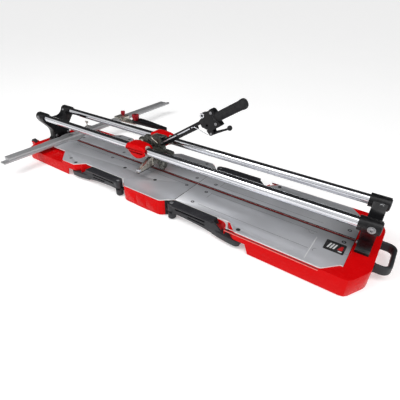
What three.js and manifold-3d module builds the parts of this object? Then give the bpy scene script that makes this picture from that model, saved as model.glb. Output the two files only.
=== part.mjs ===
// Tile cutter for tiles up to about 1.2 m: a long table on three housings, two guide rods, a sliding
// carriage with a scoring lever and a breaker foot, four swing-out side arms and a swivelling fence.
// Millimetres, +Z up. The origin is on the ground under the middle of the table. +X runs along the
// rods towards the carrying handle, -Y is the front.
import * as THREE from "three";
import { mergeVertices } from "three/addons/utils/BufferGeometryUtils.js";
import Module from "manifold-3d";

const wasm = await Module();
wasm.setup();

// ---------------------------------------------------------------- driving dimensions
const gap = 0.3; // between pieces that touch
const slack = 0.4; // between pieces that slide or turn on each other

const tableTop = 64;
const plateThickness = 4;
const plateTravel = 3; // how far a sprung plate gives way
const tableEndX = 691;
const tableWideY = 171;
const tableWaistY = 136.5;
const tableTailY = 110; // the narrowed left end, under the fence
const crossSeamX = 130;
const ridgeHalfWidth = 2.5;

const housingEndX = 757;
const housingRim = 3; // how far a housing stands out past the plates
const wall = 4;
const beamHalfWidth = 60;
const beamTop = 50;

const rodRadius = 15;
const rodY = 66.4;
const rodZ = tableTop + 106.4;
const rodEndX = 735;
const bossRadius = 20.5;
const bossInnerX = 688;
const supportInnerX = 700;
const supportOuterX = 742;

const armPivotX = 131;
const armPivotY = 157;
const armBossRadius = 14.5;
const armEndX = 404;

const fencePivotX = -632;
const fenceFrontX = -605;
const fenceBackX = -653;
const fenceTop = tableTop + 15;

const carriageLeftX = -146;
const carriageRightX = -43;
const leverPivotX = -120;
const leverPivotZ = tableTop + 116;
const handleRootX = -59;
const handleTilt = THREE.MathUtils.degToRad(32.5);
const wheelX = -42;
const wheelRadius = 11;
const wheelClearance = 4; // under the scoring wheel at rest
const footX = -84;
const footBottom = tableTop + 17.5;

// ---------------------------------------------------------------- colours and finishes
const finishes = {
  redPlastic: { color: 0xd41414, roughness: 0.25, metalness: 0 },
  blackPlastic: { color: 0x333336, roughness: 0.55, metalness: 0 },
  blackPaint: { color: 0x111113, roughness: 0.35, metalness: 0.1 },
  rubber: { color: 0x18181a, roughness: 0.8, metalness: 0 },
  aluminium: { color: 0xcfd0d4, roughness: 0.3, metalness: 0.9 },
  anodised: { color: 0x97989c, roughness: 0.5, metalness: 0.8 },
  chrome: { color: 0xe6e6ea, roughness: 0.08, metalness: 1 },
  nickel: { color: 0xa9a79d, roughness: 0.3, metalness: 1 },
  darkSteel: { color: 0x4a4a48, roughness: 0.4, metalness: 0.9 },
  redPaint: { color: 0x7c1616, roughness: 0.4, metalness: 0.3 },
  polymer: { color: 0xd8d4c8, roughness: 0.5, metalness: 0 },
};

const tileCutter = new THREE.Group();

function addPart(name, piece, finish) {
  const geometry = piece.isBufferGeometry ? piece : geometryOf(piece);
  const mesh = new THREE.Mesh(geometry, new THREE.MeshStandardMaterial(finishes[finish]));
  mesh.name = name;
  tileCutter.add(mesh);
}

// ---------------------------------------------------------------- solids
function solidOf(geometry) {
  const bare = new THREE.BufferGeometry();
  const flat = geometry.index ? geometry.toNonIndexed() : geometry;
  bare.setAttribute("position", flat.getAttribute("position"));
  const merged = mergeVertices(bare, 1e-4);
  const mesh = new wasm.Mesh({
    numProp: 3,
    vertProperties: merged.attributes.position.array,
    triVerts: new Uint32Array(merged.index.array),
  });
  return new wasm.Manifold(mesh);
}

function geometryOf(solid) {
  const { vertProperties, triVerts } = solid.getMesh();
  const geometry = new THREE.BufferGeometry();
  geometry.setAttribute("position", new THREE.BufferAttribute(new Float32Array(vertProperties), 3));
  geometry.setIndex(new THREE.BufferAttribute(new Uint32Array(triVerts), 1));
  const flat = geometry.toNonIndexed();
  flat.computeVertexNormals();
  return flat;
}

function join(...geometries) {
  return geometries.map(solidOf).reduce((whole, piece) => whole.add(piece));
}

function cut(whole, ...tools) {
  return tools.map(solidOf).reduce((left, tool) => left.subtract(tool), whole);
}

// ---------------------------------------------------------------- shapes
// An outline through [a, b] or [a, b, cornerRadius] points, with round corners where a radius is given.
// A corner takes at most 0.45 of the shorter edge beside it.
function outline(points, holes = []) {
  const clockwise = THREE.ShapeUtils.isClockWise(points.map(([a, b]) => new THREE.Vector2(a, b)));
  const ring = clockwise ? [...points].reverse() : points;
  const shape = new THREE.Shape();
  ring.forEach(([a, b, radius = 0], i) => {
    const corner = new THREE.Vector2(a, b);
    const before = ring[(i + ring.length - 1) % ring.length];
    const after = ring[(i + 1) % ring.length];
    const back = new THREE.Vector2(before[0] - a, before[1] - b);
    const ahead = new THREE.Vector2(after[0] - a, after[1] - b);
    const reach = Math.min(radius, 0.45 * back.length(), 0.45 * ahead.length());
    const enter = corner.clone().add(back.setLength(reach));
    const leave = corner.clone().add(ahead.setLength(reach));
    if (i === 0) shape.moveTo(enter.x, enter.y);
    else shape.lineTo(enter.x, enter.y);
    if (radius > 0) shape.quadraticCurveTo(a, b, leave.x, leave.y);
  });
  shape.closePath();
  holes.forEach(([a, b, radius]) => shape.holes.push(new THREE.Path().absarc(a, b, radius, 0, 2 * Math.PI)));
  return shape;
}

function mirrored(points) {
  const other = points.map(([a, b, radius]) => [a, -b, radius]).reverse();
  return [...points, ...other];
}

function extruded(shape, depth, axes, origin, curveSegments = 2) {
  const geometry = new THREE.ExtrudeGeometry(shape, { depth, bevelEnabled: false, curveSegments });
  geometry.applyMatrix4(new THREE.Matrix4().makeBasis(...axes));
  return geometry.translate(...origin);
}

const unitX = new THREE.Vector3(1, 0, 0);
const unitY = new THREE.Vector3(0, 1, 0);
const unitZ = new THREE.Vector3(0, 0, 1);
const minusY = new THREE.Vector3(0, -1, 0);

// A plan outline (x, y) raised from z0 to z1.
function slab(shape, z0, z1, segments) {
  return extruded(shape, z1 - z0, [unitX, unitY, unitZ], [0, 0, z0], segments);
}

// A side outline (x, z) stretched from y0 to y1.
function side(shape, y0, y1, segments) {
  return extruded(shape, y1 - y0, [unitX, unitZ, minusY], [0, y1, 0], segments);
}

// An end outline (y, z) stretched from x0 to x1.
function section(shape, x0, x1, segments) {
  return extruded(shape, x1 - x0, [unitY, unitZ, unitX], [x0, 0, 0], segments);
}

function box(x0, x1, y0, y1, z0, z1) {
  const geometry = new THREE.BoxGeometry(x1 - x0, y1 - y0, z1 - z0);
  return geometry.translate((x0 + x1) / 2, (y0 + y1) / 2, (z0 + z1) / 2);
}

function cylinder(radius, from, to, segments = 20) {
  const start = new THREE.Vector3(...from);
  const end = new THREE.Vector3(...to);
  const length = start.distanceTo(end);
  const geometry = new THREE.CylinderGeometry(radius, radius, length, segments);
  const turn = new THREE.Quaternion().setFromUnitVectors(unitY, end.clone().sub(start).normalize());
  const middle = start.add(end).multiplyScalar(0.5);
  return geometry.applyQuaternion(turn).translate(middle.x, middle.y, middle.z);
}

// A turned piece: a profile of [radius, height] points, its axis standing at (x, y), from height z.
function turned(profile, x, y, z, segments = 20) {
  const points = profile.map(([radius, height]) => new THREE.Vector2(radius, height));
  const geometry = new THREE.LatheGeometry(points, segments);
  return geometry.rotateX(Math.PI / 2).translate(x, y, z);
}

function ordered(a, b) {
  return a < b ? [a, b] : [b, a];
}

const corners = [
  { name: "front_left", x: -1, y: -1 },
  { name: "front_right", x: 1, y: -1 },
  { name: "rear_left", x: -1, y: 1 },
  { name: "rear_right", x: 1, y: 1 },
];

// ---------------------------------------------------------------- table
// The outline of one quarter of the table top, grown outwards by `grow`, along the front (y below 0).
function rightPlateEdge(grow = 0) {
  return [
    [tableEndX + grow, -128 - grow],
    [683 + grow / 2, -129 - grow],
    [643 + grow / 2, -tableWideY - grow, 6],
    [385 - grow / 2, -tableWideY - grow, 6],
    [350 - grow / 2, -tableWaistY - grow],
  ];
}

function leftPlateEdge(grow = 0) {
  return [
    [125 + grow / 2, -tableWaistY - grow],
    [85 + grow / 2, -tableWideY - grow, 6],
    [-85 - grow / 2, -tableWideY - grow, 6],
    [-125 - grow / 2, -tableWaistY - grow],
    [-348 + grow / 2, -tableWaistY - grow],
    [-383 + grow / 2, -tableWideY - grow, 6],
    [-460 - grow / 2, -tableWideY - grow, 6],
    [-525 - grow / 2, -tableTailY - grow],
    [-tableEndX - grow, -tableTailY - grow],
  ];
}

function plateOutline(corner, holes) {
  const innerY = -(ridgeHalfWidth + 0.7);
  const bedY = -32;
  const bedX = fenceFrontX + 1;
  const right = [
    [crossSeamX + gap, innerY],
    [tableEndX, innerY],
    ...rightPlateEdge(),
    [crossSeamX + gap, -tableWaistY],
  ];
  const left = [
    [bedX, innerY],
    [crossSeamX - gap, innerY],
    [crossSeamX - gap, -tableWaistY],
    ...leftPlateEdge(),
    [-tableEndX, bedY],
    [bedX, bedY],
  ];
  const points = (corner.x > 0 ? right : left).map(([x, y, radius]) => [x, y * -corner.y, radius]);
  return outline(points, holes.map(([x, y]) => [x, y * -corner.y, 4.5]));
}

const plateHoles = {
  front_left: [[-187, -69], [-20, -73], [-390, -155]],
  front_right: [[389, -154]],
  rear_left: [[-395, -158]],
  rear_right: [[391, -157]],
};

function tablePlates() {
  for (const corner of corners) {
    const shape = plateOutline(corner, plateHoles[corner.name]);
    addPart(`${corner.name}_plate`, slab(shape, tableTop - plateThickness, tableTop, 5), "aluminium");
    const stripX = corner.x > 0 ? 240 : -230;
    const strip = outline([
      [stripX - 80, corner.y * 38 - 7, 4],
      [stripX + 80, corner.y * 38 - 7, 4],
      [stripX + 80, corner.y * 38 + 7, 4],
      [stripX - 80, corner.y * 38 + 7, 4],
    ]);
    const cushion = slab(strip, beamTop + gap, tableTop - plateThickness - gap, 2);
    addPart(`${corner.name}_cushion`, cushion, "rubber");
  }
}

// ---------------------------------------------------------------- base
function rectangle(a0, a1, b0, b1) {
  return [[a0, b0], [a1, b0], [a1, b1], [a0, b1]];
}

function baseBeam() {
  const bottom = 12;
  const web = 3;
  const cellWidth = (2 * beamHalfWidth - 4 * web) / 3;
  let beam = join(box(-rodEndX, rodEndX, -beamHalfWidth, beamHalfWidth, bottom, beamTop));
  for (let i = 0; i < 3; i++) {
    const y = -beamHalfWidth + web + i * (cellWidth + web);
    beam = cut(beam, box(-rodEndX - 1, rodEndX + 1, y, y + cellWidth, bottom + web, beamTop - web));
  }
  addPart("base_beam", beam, "aluminium");
}

// The ridge that the tile snaps over, with the bed of the fence at its left end.
function breakingBar() {
  const foot = beamTop + gap;
  const profile = outline([
    [-14, foot],
    [14, foot],
    [14, foot + 3],
    [ridgeHalfWidth, foot + 5],
    [ridgeHalfWidth, tableTop + 0.2],
    [-ridgeHalfWidth, tableTop + 0.2],
    [-ridgeHalfWidth, foot + 5],
    [-14, foot + 3],
  ]);
  const bed = box(-690, fenceFrontX, -31, 31, foot, tableTop - gap);
  const whole = join(section(profile, fenceFrontX - 5, tableEndX), bed);
  const hole = cylinder(5 + slack, [fencePivotX, 0, foot - 1], [fencePivotX, 0, tableTop + 1]);
  addPart("breaking_bar", cut(whole, hole), "redPaint");
}

const footSpot = { x: 640, y: 138, boss: 14, pad: 18, height: 8 };

function housingPlan(edge, endX) {
  const s = Math.sign(endX);
  return mirrored([
    ...edge,
    [s * (Math.abs(endX) - 39), -(tableWideY + housingRim), 14],
    [endX, -106, 14],
  ]);
}

// The pocket that the free end of a side arm lies in, under the overhang of the housing.
function armPocket(corner) {
  const profile = outline([[300, -5], [438, -5], [424, 36], [300, 36]].map(([x, z]) => [x * corner.x, z]));
  const inner = corner.y * 132;
  const outer = corner.y * 190;
  return side(profile, Math.min(inner, outer), Math.max(inner, outer));
}

// The empty inside of a housing and the way through it for the beam.
const beamSlotX = 738;
const shellBottom = 3;

// The left end lies lower, under the fence's swing.
function housingTop(s) {
  return s < 0 ? tableTop - 15 : tableTop - 2;
}

function endHousing(s) {
  const top = housingTop(s);
  const skin = Math.min(top - wall, tableTop - 12);
  const outerY = tableWideY + housingRim;
  const innerEnd = [
    [s * 343, -tableWaistY - 1],
    [s * 381, -outerY, 8],
  ];
  const cavity = mirrored([
    [s * (343 + wall), -tableWaistY + 4],
    [s * (381 + wall), -outerY + wall],
    [s * (housingEndX - 41), -outerY + wall],
    [s * (housingEndX - wall), -104],
  ]);
  let whole = join(slab(outline(housingPlan(innerEnd, s * housingEndX)), shellBottom, top));
  if (s < 0) {
    const shoulder = mirrored([...innerEnd, [-462, -outerY, 6], [-528, -tableTailY - housingRim]]);
    whole = whole.add(solidOf(slab(outline(shoulder), top - wall, tableTop - 2)));
  }
  const edge = s > 0 ? rightPlateEdge(1.2) : leftPlateEdge(1.2).slice(4);
  const inner = [s * 300, -tableWaistY - 1.2];
  const plates = mirrored(s > 0 ? [...edge, inner] : [inner, ...edge]);
  whole = cut(
    whole,
    slab(outline(cavity), -1, skin),
    slab(outline(plates), tableTop - plateThickness - plateTravel - 1, 90),
  );
  for (const y of [-1, 1]) {
    const pocketWall = slab(outline(rectangle(s * 344, s * 426, y * 128, y * 132)), shellBottom, skin + 1);
    const spot = [s * footSpot.x, y * footSpot.y];
    const boss = cylinder(footSpot.boss, [...spot, footSpot.height + gap], [...spot, skin + 1], 20);
    whole = cut(whole, armPocket({ x: s, y })).add(solidOf(pocketWall)).add(solidOf(boss));
  }
  const slotEnds = ordered(s * 330, s * beamSlotX);
  return cut(
    whole,
    box(...slotEnds, -beamHalfWidth - 0.6, beamHalfWidth + 0.6, -1, beamTop + 0.6),
    box(...ordered(s * 330, s * (tableEndX + 1)), -15, 15, beamTop, tableTop + 1),
  );
}

function endFeet() {
  const { pad, height } = footSpot;
  const profile = [[0, 0], [pad - 2, 0], [pad, 2], [pad - 1, height], [0, height]];
  for (const corner of corners) {
    const foot = turned(profile, corner.x * footSpot.x, corner.y * footSpot.y, 0);
    addPart(`${corner.name}_foot`, foot, "rubber");
  }
}

const armLug = { bottom: 27, top: 35.7, radius: 11 };
const pinRadius = 4;

function middleHousing() {
  const outerY = tableWideY + housingRim;
  const skin = tableTop - 12;
  const plan = mirrored([[-112, -150, 6], [-86, -outerY, 12], [86, -outerY, 12], [112, -150, 6]]);
  const cavity = mirrored([[-108, -148], [-84, -outerY + wall], [84, -outerY + wall], [108, -148]]);
  const plates = mirrored(leftPlateEdge(1.2).slice(0, 4));
  const sole = box(-30, 30, -outerY + 1, outerY - 1, 0, 6);
  let whole = cut(
    join(slab(outline(plan), shellBottom, tableTop - 2)),
    slab(outline(cavity), -1, skin),
    slab(outline(plates), tableTop - plateThickness - plateTravel - 1, 90),
    box(-120, 120, -beamHalfWidth - 0.6, beamHalfWidth + 0.6, -1, beamTop + 0.6),
    box(-120, 120, -15, 15, beamTop, tableTop + 1),
  );
  whole = whole.add(solidOf(sole));
  for (const corner of corners) {
    const plan = outline([
      [corner.x * 100, corner.y * 140],
      [corner.x * 122, corner.y * 149],
      [corner.x * 122, corner.y * 165],
      [corner.x * 100, corner.y * 160],
    ]);
    const at = [corner.x * armPivotX, corner.y * armPivotY];
    const ring = cylinder(armLug.radius, [...at, armLug.bottom], [...at, armLug.top], 14);
    const lug = join(slab(plan, armLug.bottom, armLug.top), ring);
    const hole = cylinder(pinRadius + gap, [...at, 0], [...at, 60], 12);
    const room = box(-107, 107, -168, 168, 0, skin);
    whole = whole.add(cut(lug, hole, room));
  }
  addPart("middle_housing", whole, "redPlastic");
}

// ---------------------------------------------------------------- rod supports, rods, end fittings
function rodSupport(s, base) {
  const profile = outline([
    [-52, base],
    [52, base],
    [52, base + 8, 3],
    [42, base + 14, 6],
    [40, tableTop + 38, 14],
    [84, rodZ - 14, 4],
    [84, rodZ + 8, 10],
    [50, rodZ + 12, 8],
    [26, tableTop + 90, 14],
    [-26, tableTop + 90, 14],
    [-50, rodZ + 12, 8],
    [-84, rodZ + 8, 10],
    [-84, rodZ - 14, 4],
    [-40, tableTop + 38, 14],
    [-42, base + 14, 6],
    [-52, base + 8, 3],
  ]);
  const across = ordered(s * supportInnerX, s * (supportOuterX - 4));
  let whole = solidOf(section(profile, ...across));
  for (const y of [-rodY, rodY]) {
    const boss = cylinder(bossRadius, [s * bossInnerX, y, rodZ], [s * supportOuterX, y, rodZ], 24);
    whole = whole.add(solidOf(boss));
  }
  for (const y of [-rodY, rodY]) {
    const ends = [s * (bossInnerX - 1), s * (rodEndX + gap)].map((x) => [x, y, rodZ]);
    whole = cut(whole, cylinder(rodRadius + gap, ...ends, 24));
  }
  return whole;
}

function endHandle() {
  const plan = outline([
    [housingEndX + gap, -62],
    [801, -62, 22],
    [801, 62, 22],
    [housingEndX + gap, 62],
    [housingEndX + gap, 51],
    [790, 51, 12],
    [790, -51, 12],
    [housingEndX + gap, -51],
  ]);
  addPart("end_handle", slab(plan, 25, 54, 6), "blackPlastic");
}

const roller = { x: -775, z: 44, radius: 17, y0: 100, y1: 118, ear: 4 };

function rollerEars() {
  const { x, z } = roller;
  const shape = outline(
    [[-744, z - 16], [-744, z + 4], [x + 8, z + 8], [x - 4, z + 8, 6], [x - 8, z - 4, 6], [x + 6, z - 12, 6]],
    [[x, z, pinRadius + gap]],
  );
  const inner = roller.y0 - 1;
  const outer = roller.y1 + 1;
  return [-1, 1].flatMap((y) => [
    side(shape, ...ordered(y * (inner - roller.ear), y * inner), 8),
    side(shape, ...ordered(y * outer, y * (outer + roller.ear)), 8),
  ]);
}

function transportRollers() {
  const { x, z, radius, y0, y1, ear } = roller;
  for (const [name, y] of [["front", -1], ["rear", 1]]) {
    const wheel = join(cylinder(radius, [x, y * y0, z], [x, y * y1, z], 24));
    const bore = cylinder(pinRadius + slack, [x, y * (y0 - 1), z], [x, y * (y1 + 1), z], 16);
    addPart(`${name}_roller`, cut(wheel, bore), "rubber");
    const pin = cylinder(pinRadius, [x, y * (y0 - ear - 2), z], [x, y * (y1 + ear + 2), z], 16);
    addPart(`${name}_roller_pin`, pin, "chrome");
  }
}

// ---------------------------------------------------------------- side arms
// A ribbed arm that swings out under a wide tile. Its leg reaches the ground.
function sideArm(corner) {
  const flip = (points) => points.map(([a, b, radius]) => [a * corner.x, b, radius]);
  const flip2 = (points) => points.map(([a, b, radius]) => [a * corner.x, b * corner.y, radius]);
  const range = (a, b) => ordered(a * corner.y, b * corner.y);
  const top = tableTop - 0.5;
  const wallOutline = outline(flip([
    [armPivotX + 4, 28, 4],
    [175, 29, 10],
    [260, 24, 20],
    [322, 13, 12],
    [armEndX - 10, 11, 6],
    [armEndX, 16, 4],
    [armEndX, 34, 6],
    [338, 34, 8],
    [303, top, 6],
    [armPivotX, top],
  ]));
  const slot = (x0, x1, z0, z1, drop) => {
    const around = flip([[x0, z0], [x1, z0 - drop], [x1, z1 - drop], [x0, z1]]);
    return new THREE.Path(around.map(([a, b]) => new THREE.Vector2(a, b)));
  };
  wallOutline.holes.push(slot(152, 274, 45, 54, 0));
  wallOutline.holes.push(slot(205, 274, 34, 40, 2));
  const face = side(wallOutline, ...range(159, 166));
  const inside = side(
    outline(flip([[armPivotX + 4, 40], [300, 36], [312, 45], [303, top], [armPivotX, top]])),
    ...range(139, 143),
  );
  const deck = slab(
    outline(flip2([[armPivotX, 139], [303, 139], [306, 174, 4], [145, 174, 6], [armPivotX, 170]])),
    top - 5,
    top,
  );
  const end = side(
    outline(flip([[318, 14], [armEndX - 10, 11, 6], [armEndX, 16, 4], [armEndX, 33.5, 6], [330, 33.5]])),
    ...range(139, 166),
  );
  const flare = slab(
    outline(flip2([[300, 164], [340, 172, 20], [394, 176, 8], [armEndX, 166, 4], [armEndX - 4, 160]])),
    13,
    33,
  );
  const at = [corner.x * armPivotX, corner.y * armPivotY];
  const leg = turned(
    [[0, 2], [armBossRadius - 4, 2], [armBossRadius, 6], [armBossRadius, top], [0, top]],
    ...at, 0, 20,
  );
  const neck = slab(
    outline(flip2([[armPivotX - 2, 143], [150, 141], [150, 166], [armPivotX, 171]])),
    40,
    top,
  );
  const reach = ordered(at[0] + corner.x * 9, at[0] - corner.x * 30);
  const room = [armLug.bottom - slack, armLug.top + slack];
  const lugRoom = cylinder(armLug.radius + 1, ...room.map((z) => [...at, z]), 14);
  const lugWay = box(...reach, at[1] - 20, at[1] + 20, ...room);
  const bore = cylinder(pinRadius + slack, [...at, -1], [...at, 52], 12);
  const whole = cut(join(face, inside, deck, end, flare, leg, neck), lugRoom, lugWay, bore);
  addPart(`${corner.name}_arm`, whole, "blackPlastic");
  const pin = cylinder(pinRadius, [...at, 5], [...at, 51], 12);
  addPart(`${corner.name}_arm_pin`, pin, "chrome");
}

// ---------------------------------------------------------------- fence
const fenceFrontEndY = -314;
const fenceFrontTipY = -342;
const fenceRearEndY = 690;
const fenceRearTipY = 728;
const stopY = 332;
const stopPivotX = -515;
const stopPivotY = 326;

// The outline of a knob with `count` round lobes, `depth` higher than the hollows between them.
function lobedRing(x, y, radius, depth, count) {
  const points = [];
  const steps = 6 * count;
  for (let i = 0; i < steps; i++) {
    const angle = (2 * Math.PI * i) / steps;
    const reach = radius + depth * Math.cos(count * angle);
    points.push(new THREE.Vector2(x + reach * Math.cos(angle), y + reach * Math.sin(angle)));
  }
  return new THREE.Shape(points);
}

function fence() {
  const bottom = tableTop + 0.5;
  const bar = side(
    outline([
      [fenceFrontX, bottom],
      [fenceFrontX, bottom + 7.5],
      [fenceFrontX - 7, bottom + 8.5],
      [fenceFrontX - 9, fenceTop],
      [fenceBackX, fenceTop],
      [fenceBackX, bottom],
    ]),
    fenceFrontEndY,
    fenceRearEndY,
  );
  const tip = slab(
    outline([
      [fenceBackX + 16, fenceRearEndY - 14],
      [fenceFrontX, fenceRearEndY - 14],
      [fenceFrontX, fenceRearTipY - 12, 6],
      [fenceFrontX - 14, fenceRearTipY, 6],
      [fenceBackX + 24, fenceRearTipY, 6],
    ]),
    bottom,
    bottom + 5.5,
  );
  const nearEnds = [fenceFrontTipY, fenceFrontEndY + 14];
  const nearTip = box(fenceBackX + 16, fenceFrontX, ...nearEnds, bottom, bottom + 5.5);
  const hub = cylinder(52, [fencePivotX, 0, bottom], [fencePivotX, 0, bottom + 6], 32);
  const ear = slab(
    outline(
      [[-700, 132, 6], [fenceBackX + 4, 120], [fenceBackX + 4, 166], [-700, 154, 6]],
      [[-690, 143, 4.5]],
    ),
    bottom,
    bottom + 5.5,
    7,
  );
  const pivotHole = cylinder(5 + slack, [fencePivotX, 0, bottom - 1], [fencePivotX, 0, fenceTop + 1]);
  const headRoom = cylinder(12, [fencePivotX, 0, fenceTop - 7], [fencePivotX, 0, fenceTop + 1]);
  addPart("fence_bar", cut(join(bar, tip, nearTip, hub, ear), pivotHole, headRoom), "anodised");

  const headZ = fenceTop - 6.5;
  const bolt = join(
    cylinder(5, [fencePivotX, 0, beamTop + gap], [fencePivotX, 0, headZ + 1]),
    cylinder(11, [fencePivotX, 0, headZ], [fencePivotX, 0, fenceTop - 1]),
  );
  addPart("fence_pivot_bolt", bolt, "chrome");

  const shank = turned([[0, 0], [4, 0], [4, 4], [3, 6], [3, 26], [0, 26]], -690, 143, bottom + gap, 16);
  const grip = side(outline([[-701, 89, 2], [-679, 89, 2], [-679, 96, 3], [-701, 96, 3]]), 140, 146, 2);
  addPart("fence_t_screw", join(shank, grip), "nickel");
}

function fenceStop() {
  const lip = fenceFrontX + slack;
  const plate = slab(
    outline([
      [fenceBackX - 5, stopY - 32, 4],
      [lip + 6, stopY - 32, 4],
      [lip + 6, stopY + 28, 4],
      [fenceBackX - 5, stopY + 28, 4],
    ]),
    fenceTop + slack,
    fenceTop + 6,
    2,
  );
  const front = box(lip, lip + 6, stopY - 28, stopY + 24, tableTop + 1, fenceTop + 5);
  const back = box(fenceBackX - 5, fenceBackX - slack, stopY - 28, stopY + 24, tableTop + 1, fenceTop + 5);
  const ear = slab(
    outline([
      [lip + 1, stopY - 27],
      [stopPivotX - 20, stopPivotY - 18, 8],
      [stopPivotX + 14, stopPivotY - 12, 10],
      [stopPivotX + 14, stopPivotY + 12, 10],
      [stopPivotX - 20, stopPivotY + 18, 8],
      [lip + 1, stopY + 22],
    ], [[stopPivotX, stopPivotY, 5.5]]),
    tableTop + 1,
    tableTop + 6,
    6,
  );
  const screwHole = cylinder(3.6, [-632, stopY + 14, fenceTop], [-632, stopY + 14, fenceTop + 9], 16);
  addPart("stop_bracket", cut(join(plate, front, back, ear), screwHole), "nickel");

  const knobBase = fenceTop + 6 + gap;
  const lockX = -632;
  const lockY = stopY + 14;
  const cross = slab(lobedRing(lockX, lockY, 11.5, 3.5, 4), knobBase + 8, knobBase + 23);
  const core = turned([[0, 0], [8, 0], [8, 9], [0, 9]], lockX, lockY, knobBase, 16);
  const stud = cylinder(3, [lockX, lockY, fenceTop + 1], [lockX, lockY, knobBase + 1], 12);
  addPart("stop_lock_knob", join(core, stud, cross), "redPlastic");

  const armBottom = tableTop + 6.4;
  const armTop = tableTop + 21;
  const arm = slab(
    outline(
      [
        [stopPivotX - 30, stopPivotY, 16],
        [stopPivotX - 8, stopPivotY - 14, 10],
        [-400, stopPivotY - 10, 20],
        [-318, stopPivotY - 2, 8],
        [-302, stopPivotY + 8, 6],
        [-312, stopPivotY + 16, 8],
        [-369, stopPivotY + 24, 30],
        [-448, stopPivotY + 36, 30],
        [stopPivotX - 8, stopPivotY + 42, 24],
      ],
      [[stopPivotX, stopPivotY, 5.5]],
    ),
    armBottom,
    armTop,
    6,
  );
  addPart("stop_arm", arm, "blackPlastic");

  const knobZ = armTop + gap;
  const base = turned([[0, 0], [12, 0], [13, 9], [0, 9]], stopPivotX, stopPivotY, knobZ, 16);
  const body = slab(lobedRing(stopPivotX, stopPivotY, 18, 2, 7), knobZ + 8, knobZ + 33);
  const pinEnds = [tableTop + 2, knobZ + 1].map((z) => [stopPivotX, stopPivotY, z]);
  const pin = cylinder(5, ...pinEnds, 20);
  addPart("stop_arm_knob", join(base, body, pin), "redPlastic");
}

// ---------------------------------------------------------------- carriage
function sliderCover(s) {
  const y = s * (rodY + 1);
  const bevel = 9;
  const shape = outline([
    [carriageLeftX, tableTop + 96, 8],
    [carriageLeftX + 2, tableTop + 114, 12],
    [-130, tableTop + 130, 14],
    [-98, tableTop + 133, 20],
    [-56, tableTop + 129, 12],
    [carriageRightX, tableTop + 106, 14],
    [-52, tableTop + 86, 12],
    [-72, tableTop + 79, 10],
    [-94, tableTop + 74, 10],
    [-122, tableTop + 81, 10],
  ]);
  const depth = 52;
  const geometry = new THREE.ExtrudeGeometry(shape, {
    depth: depth - 2 * bevel,
    curveSegments: 2,
    bevelThickness: bevel,
    bevelSize: bevel,
    bevelOffset: -bevel,
    bevelSegments: 2,
  });
  geometry.applyMatrix4(new THREE.Matrix4().makeBasis(unitX, unitZ, minusY));
  geometry.translate(0, y + depth / 2 - bevel, 0);
  const bore = cylinder(20.5, [-170, s * rodY, rodZ], [-30, s * rodY, rodZ], 24);
  return cut(solidOf(geometry), bore);
}

function rodBush(y) {
  const bush = solidOf(cylinder(20, [-138, y, rodZ], [-54, y, rodZ], 24));
  return cut(bush, cylinder(rodRadius + slack, [-160, y, rodZ], [-50, y, rodZ], 24));
}

const restBar = { y0: -37, y1: -25 };

function carriageBridge() {
  const reach = 38;
  const deckTop = tableTop + 97;
  const deck = side(
    outline([[-152, tableTop + 86, 4], [-66, tableTop + 82, 4], [-66, deckTop, 3], [-152, deckTop, 3]]),
    -reach,
    reach,
  );
  const cheek = outline([
    [-146, deckTop - 4],
    [-90, deckTop - 4],
    [-96, tableTop + 122, 8],
    [-108, tableTop + 132, 10],
    [-132, tableTop + 132, 10],
    [-142, tableTop + 122, 8],
  ]);
  const rest = outline([
    [-80, deckTop - 8],
    [-30, deckTop - 2, 6],
    [38, deckTop + 4, 5],
    [44, deckTop + 12, 5],
    [30, deckTop + 16, 6],
    [-60, deckTop + 14, 6],
    [-80, deckTop + 4],
  ]);
  const whole = join(
    deck,
    side(cheek, 12, 19),
    side(cheek, -19, -12),
    side(rest, restBar.y0, restBar.y1),
  );
  const pinHole = cylinder(5.4, [leverPivotX, -30, leverPivotZ], [leverPivotX, 30, leverPivotZ], 20);
  const postHole = cylinder(7 + slack, [footX, 0, tableTop + 60], [footX, 0, deckTop + 1]);
  return cut(whole, pinHole, postHole);
}

function carriage() {
  addPart("carriage_bridge", carriageBridge(), "darkSteel");
  addPart("front_slider_cover", sliderCover(-1), "redPlastic");
  addPart("rear_slider_cover", sliderCover(1), "redPlastic");
  addPart("front_rod_bush", rodBush(-rodY), "polymer");
  addPart("rear_rod_bush", rodBush(rodY), "polymer");
  const knob = cylinder(11, [leverPivotX, -33, leverPivotZ + 2], [leverPivotX, -21, leverPivotZ + 2], 24);
  addPart("pivot_knob", knob, "nickel");
}

// ---------------------------------------------------------------- breaker foot
function breakerFoot() {
  const sole = footBottom + 4.5;
  const wings = outline([
    [-98, sole],
    [98, sole],
    [98, sole + 7, 2],
    [30, tableTop + 60, 6],
    [-30, tableTop + 60, 6],
    [-98, sole + 7, 2],
  ]);
  const hub = box(footX - 11, footX + 11, -21, 21, sole + 4, tableTop + 64);
  const post = cylinder(7, [footX, 0, tableTop + 60], [footX, 0, tableTop + 96]);
  addPart("breaker_foot", join(section(wings, footX - 7, footX + 7), hub, post), "nickel");
  for (const [name, y] of [["front", -1], ["rear", 1]]) {
    const [y0, y1] = ordered(y * 98, y * 12);
    const strip = side(outline([
      [footX - 6, footBottom, 1.5],
      [footX + 6, footBottom, 1.5],
      [footX + 6, sole - gap],
      [footX - 6, sole - gap],
    ]), y0, y1, 2);
    addPart(`${name}_foot_pad`, strip, "rubber");
  }
}

// ---------------------------------------------------------------- scoring lever and handle
// A point of the handle, `along` it from its root and `above` its centre line.
function onHandle(along, above) {
  const cos = Math.cos(handleTilt);
  const sin = Math.sin(handleTilt);
  return [handleRootX + along * cos - above * sin, leverPivotZ + along * sin + above * cos];
}

function handleOutline(points, holes = []) {
  return outline(
    points.map(([a, b, radius]) => [...onHandle(a, b), radius]),
    holes.map(([a, b, radius]) => [...onHandle(a, b), radius]),
  );
}

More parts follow.
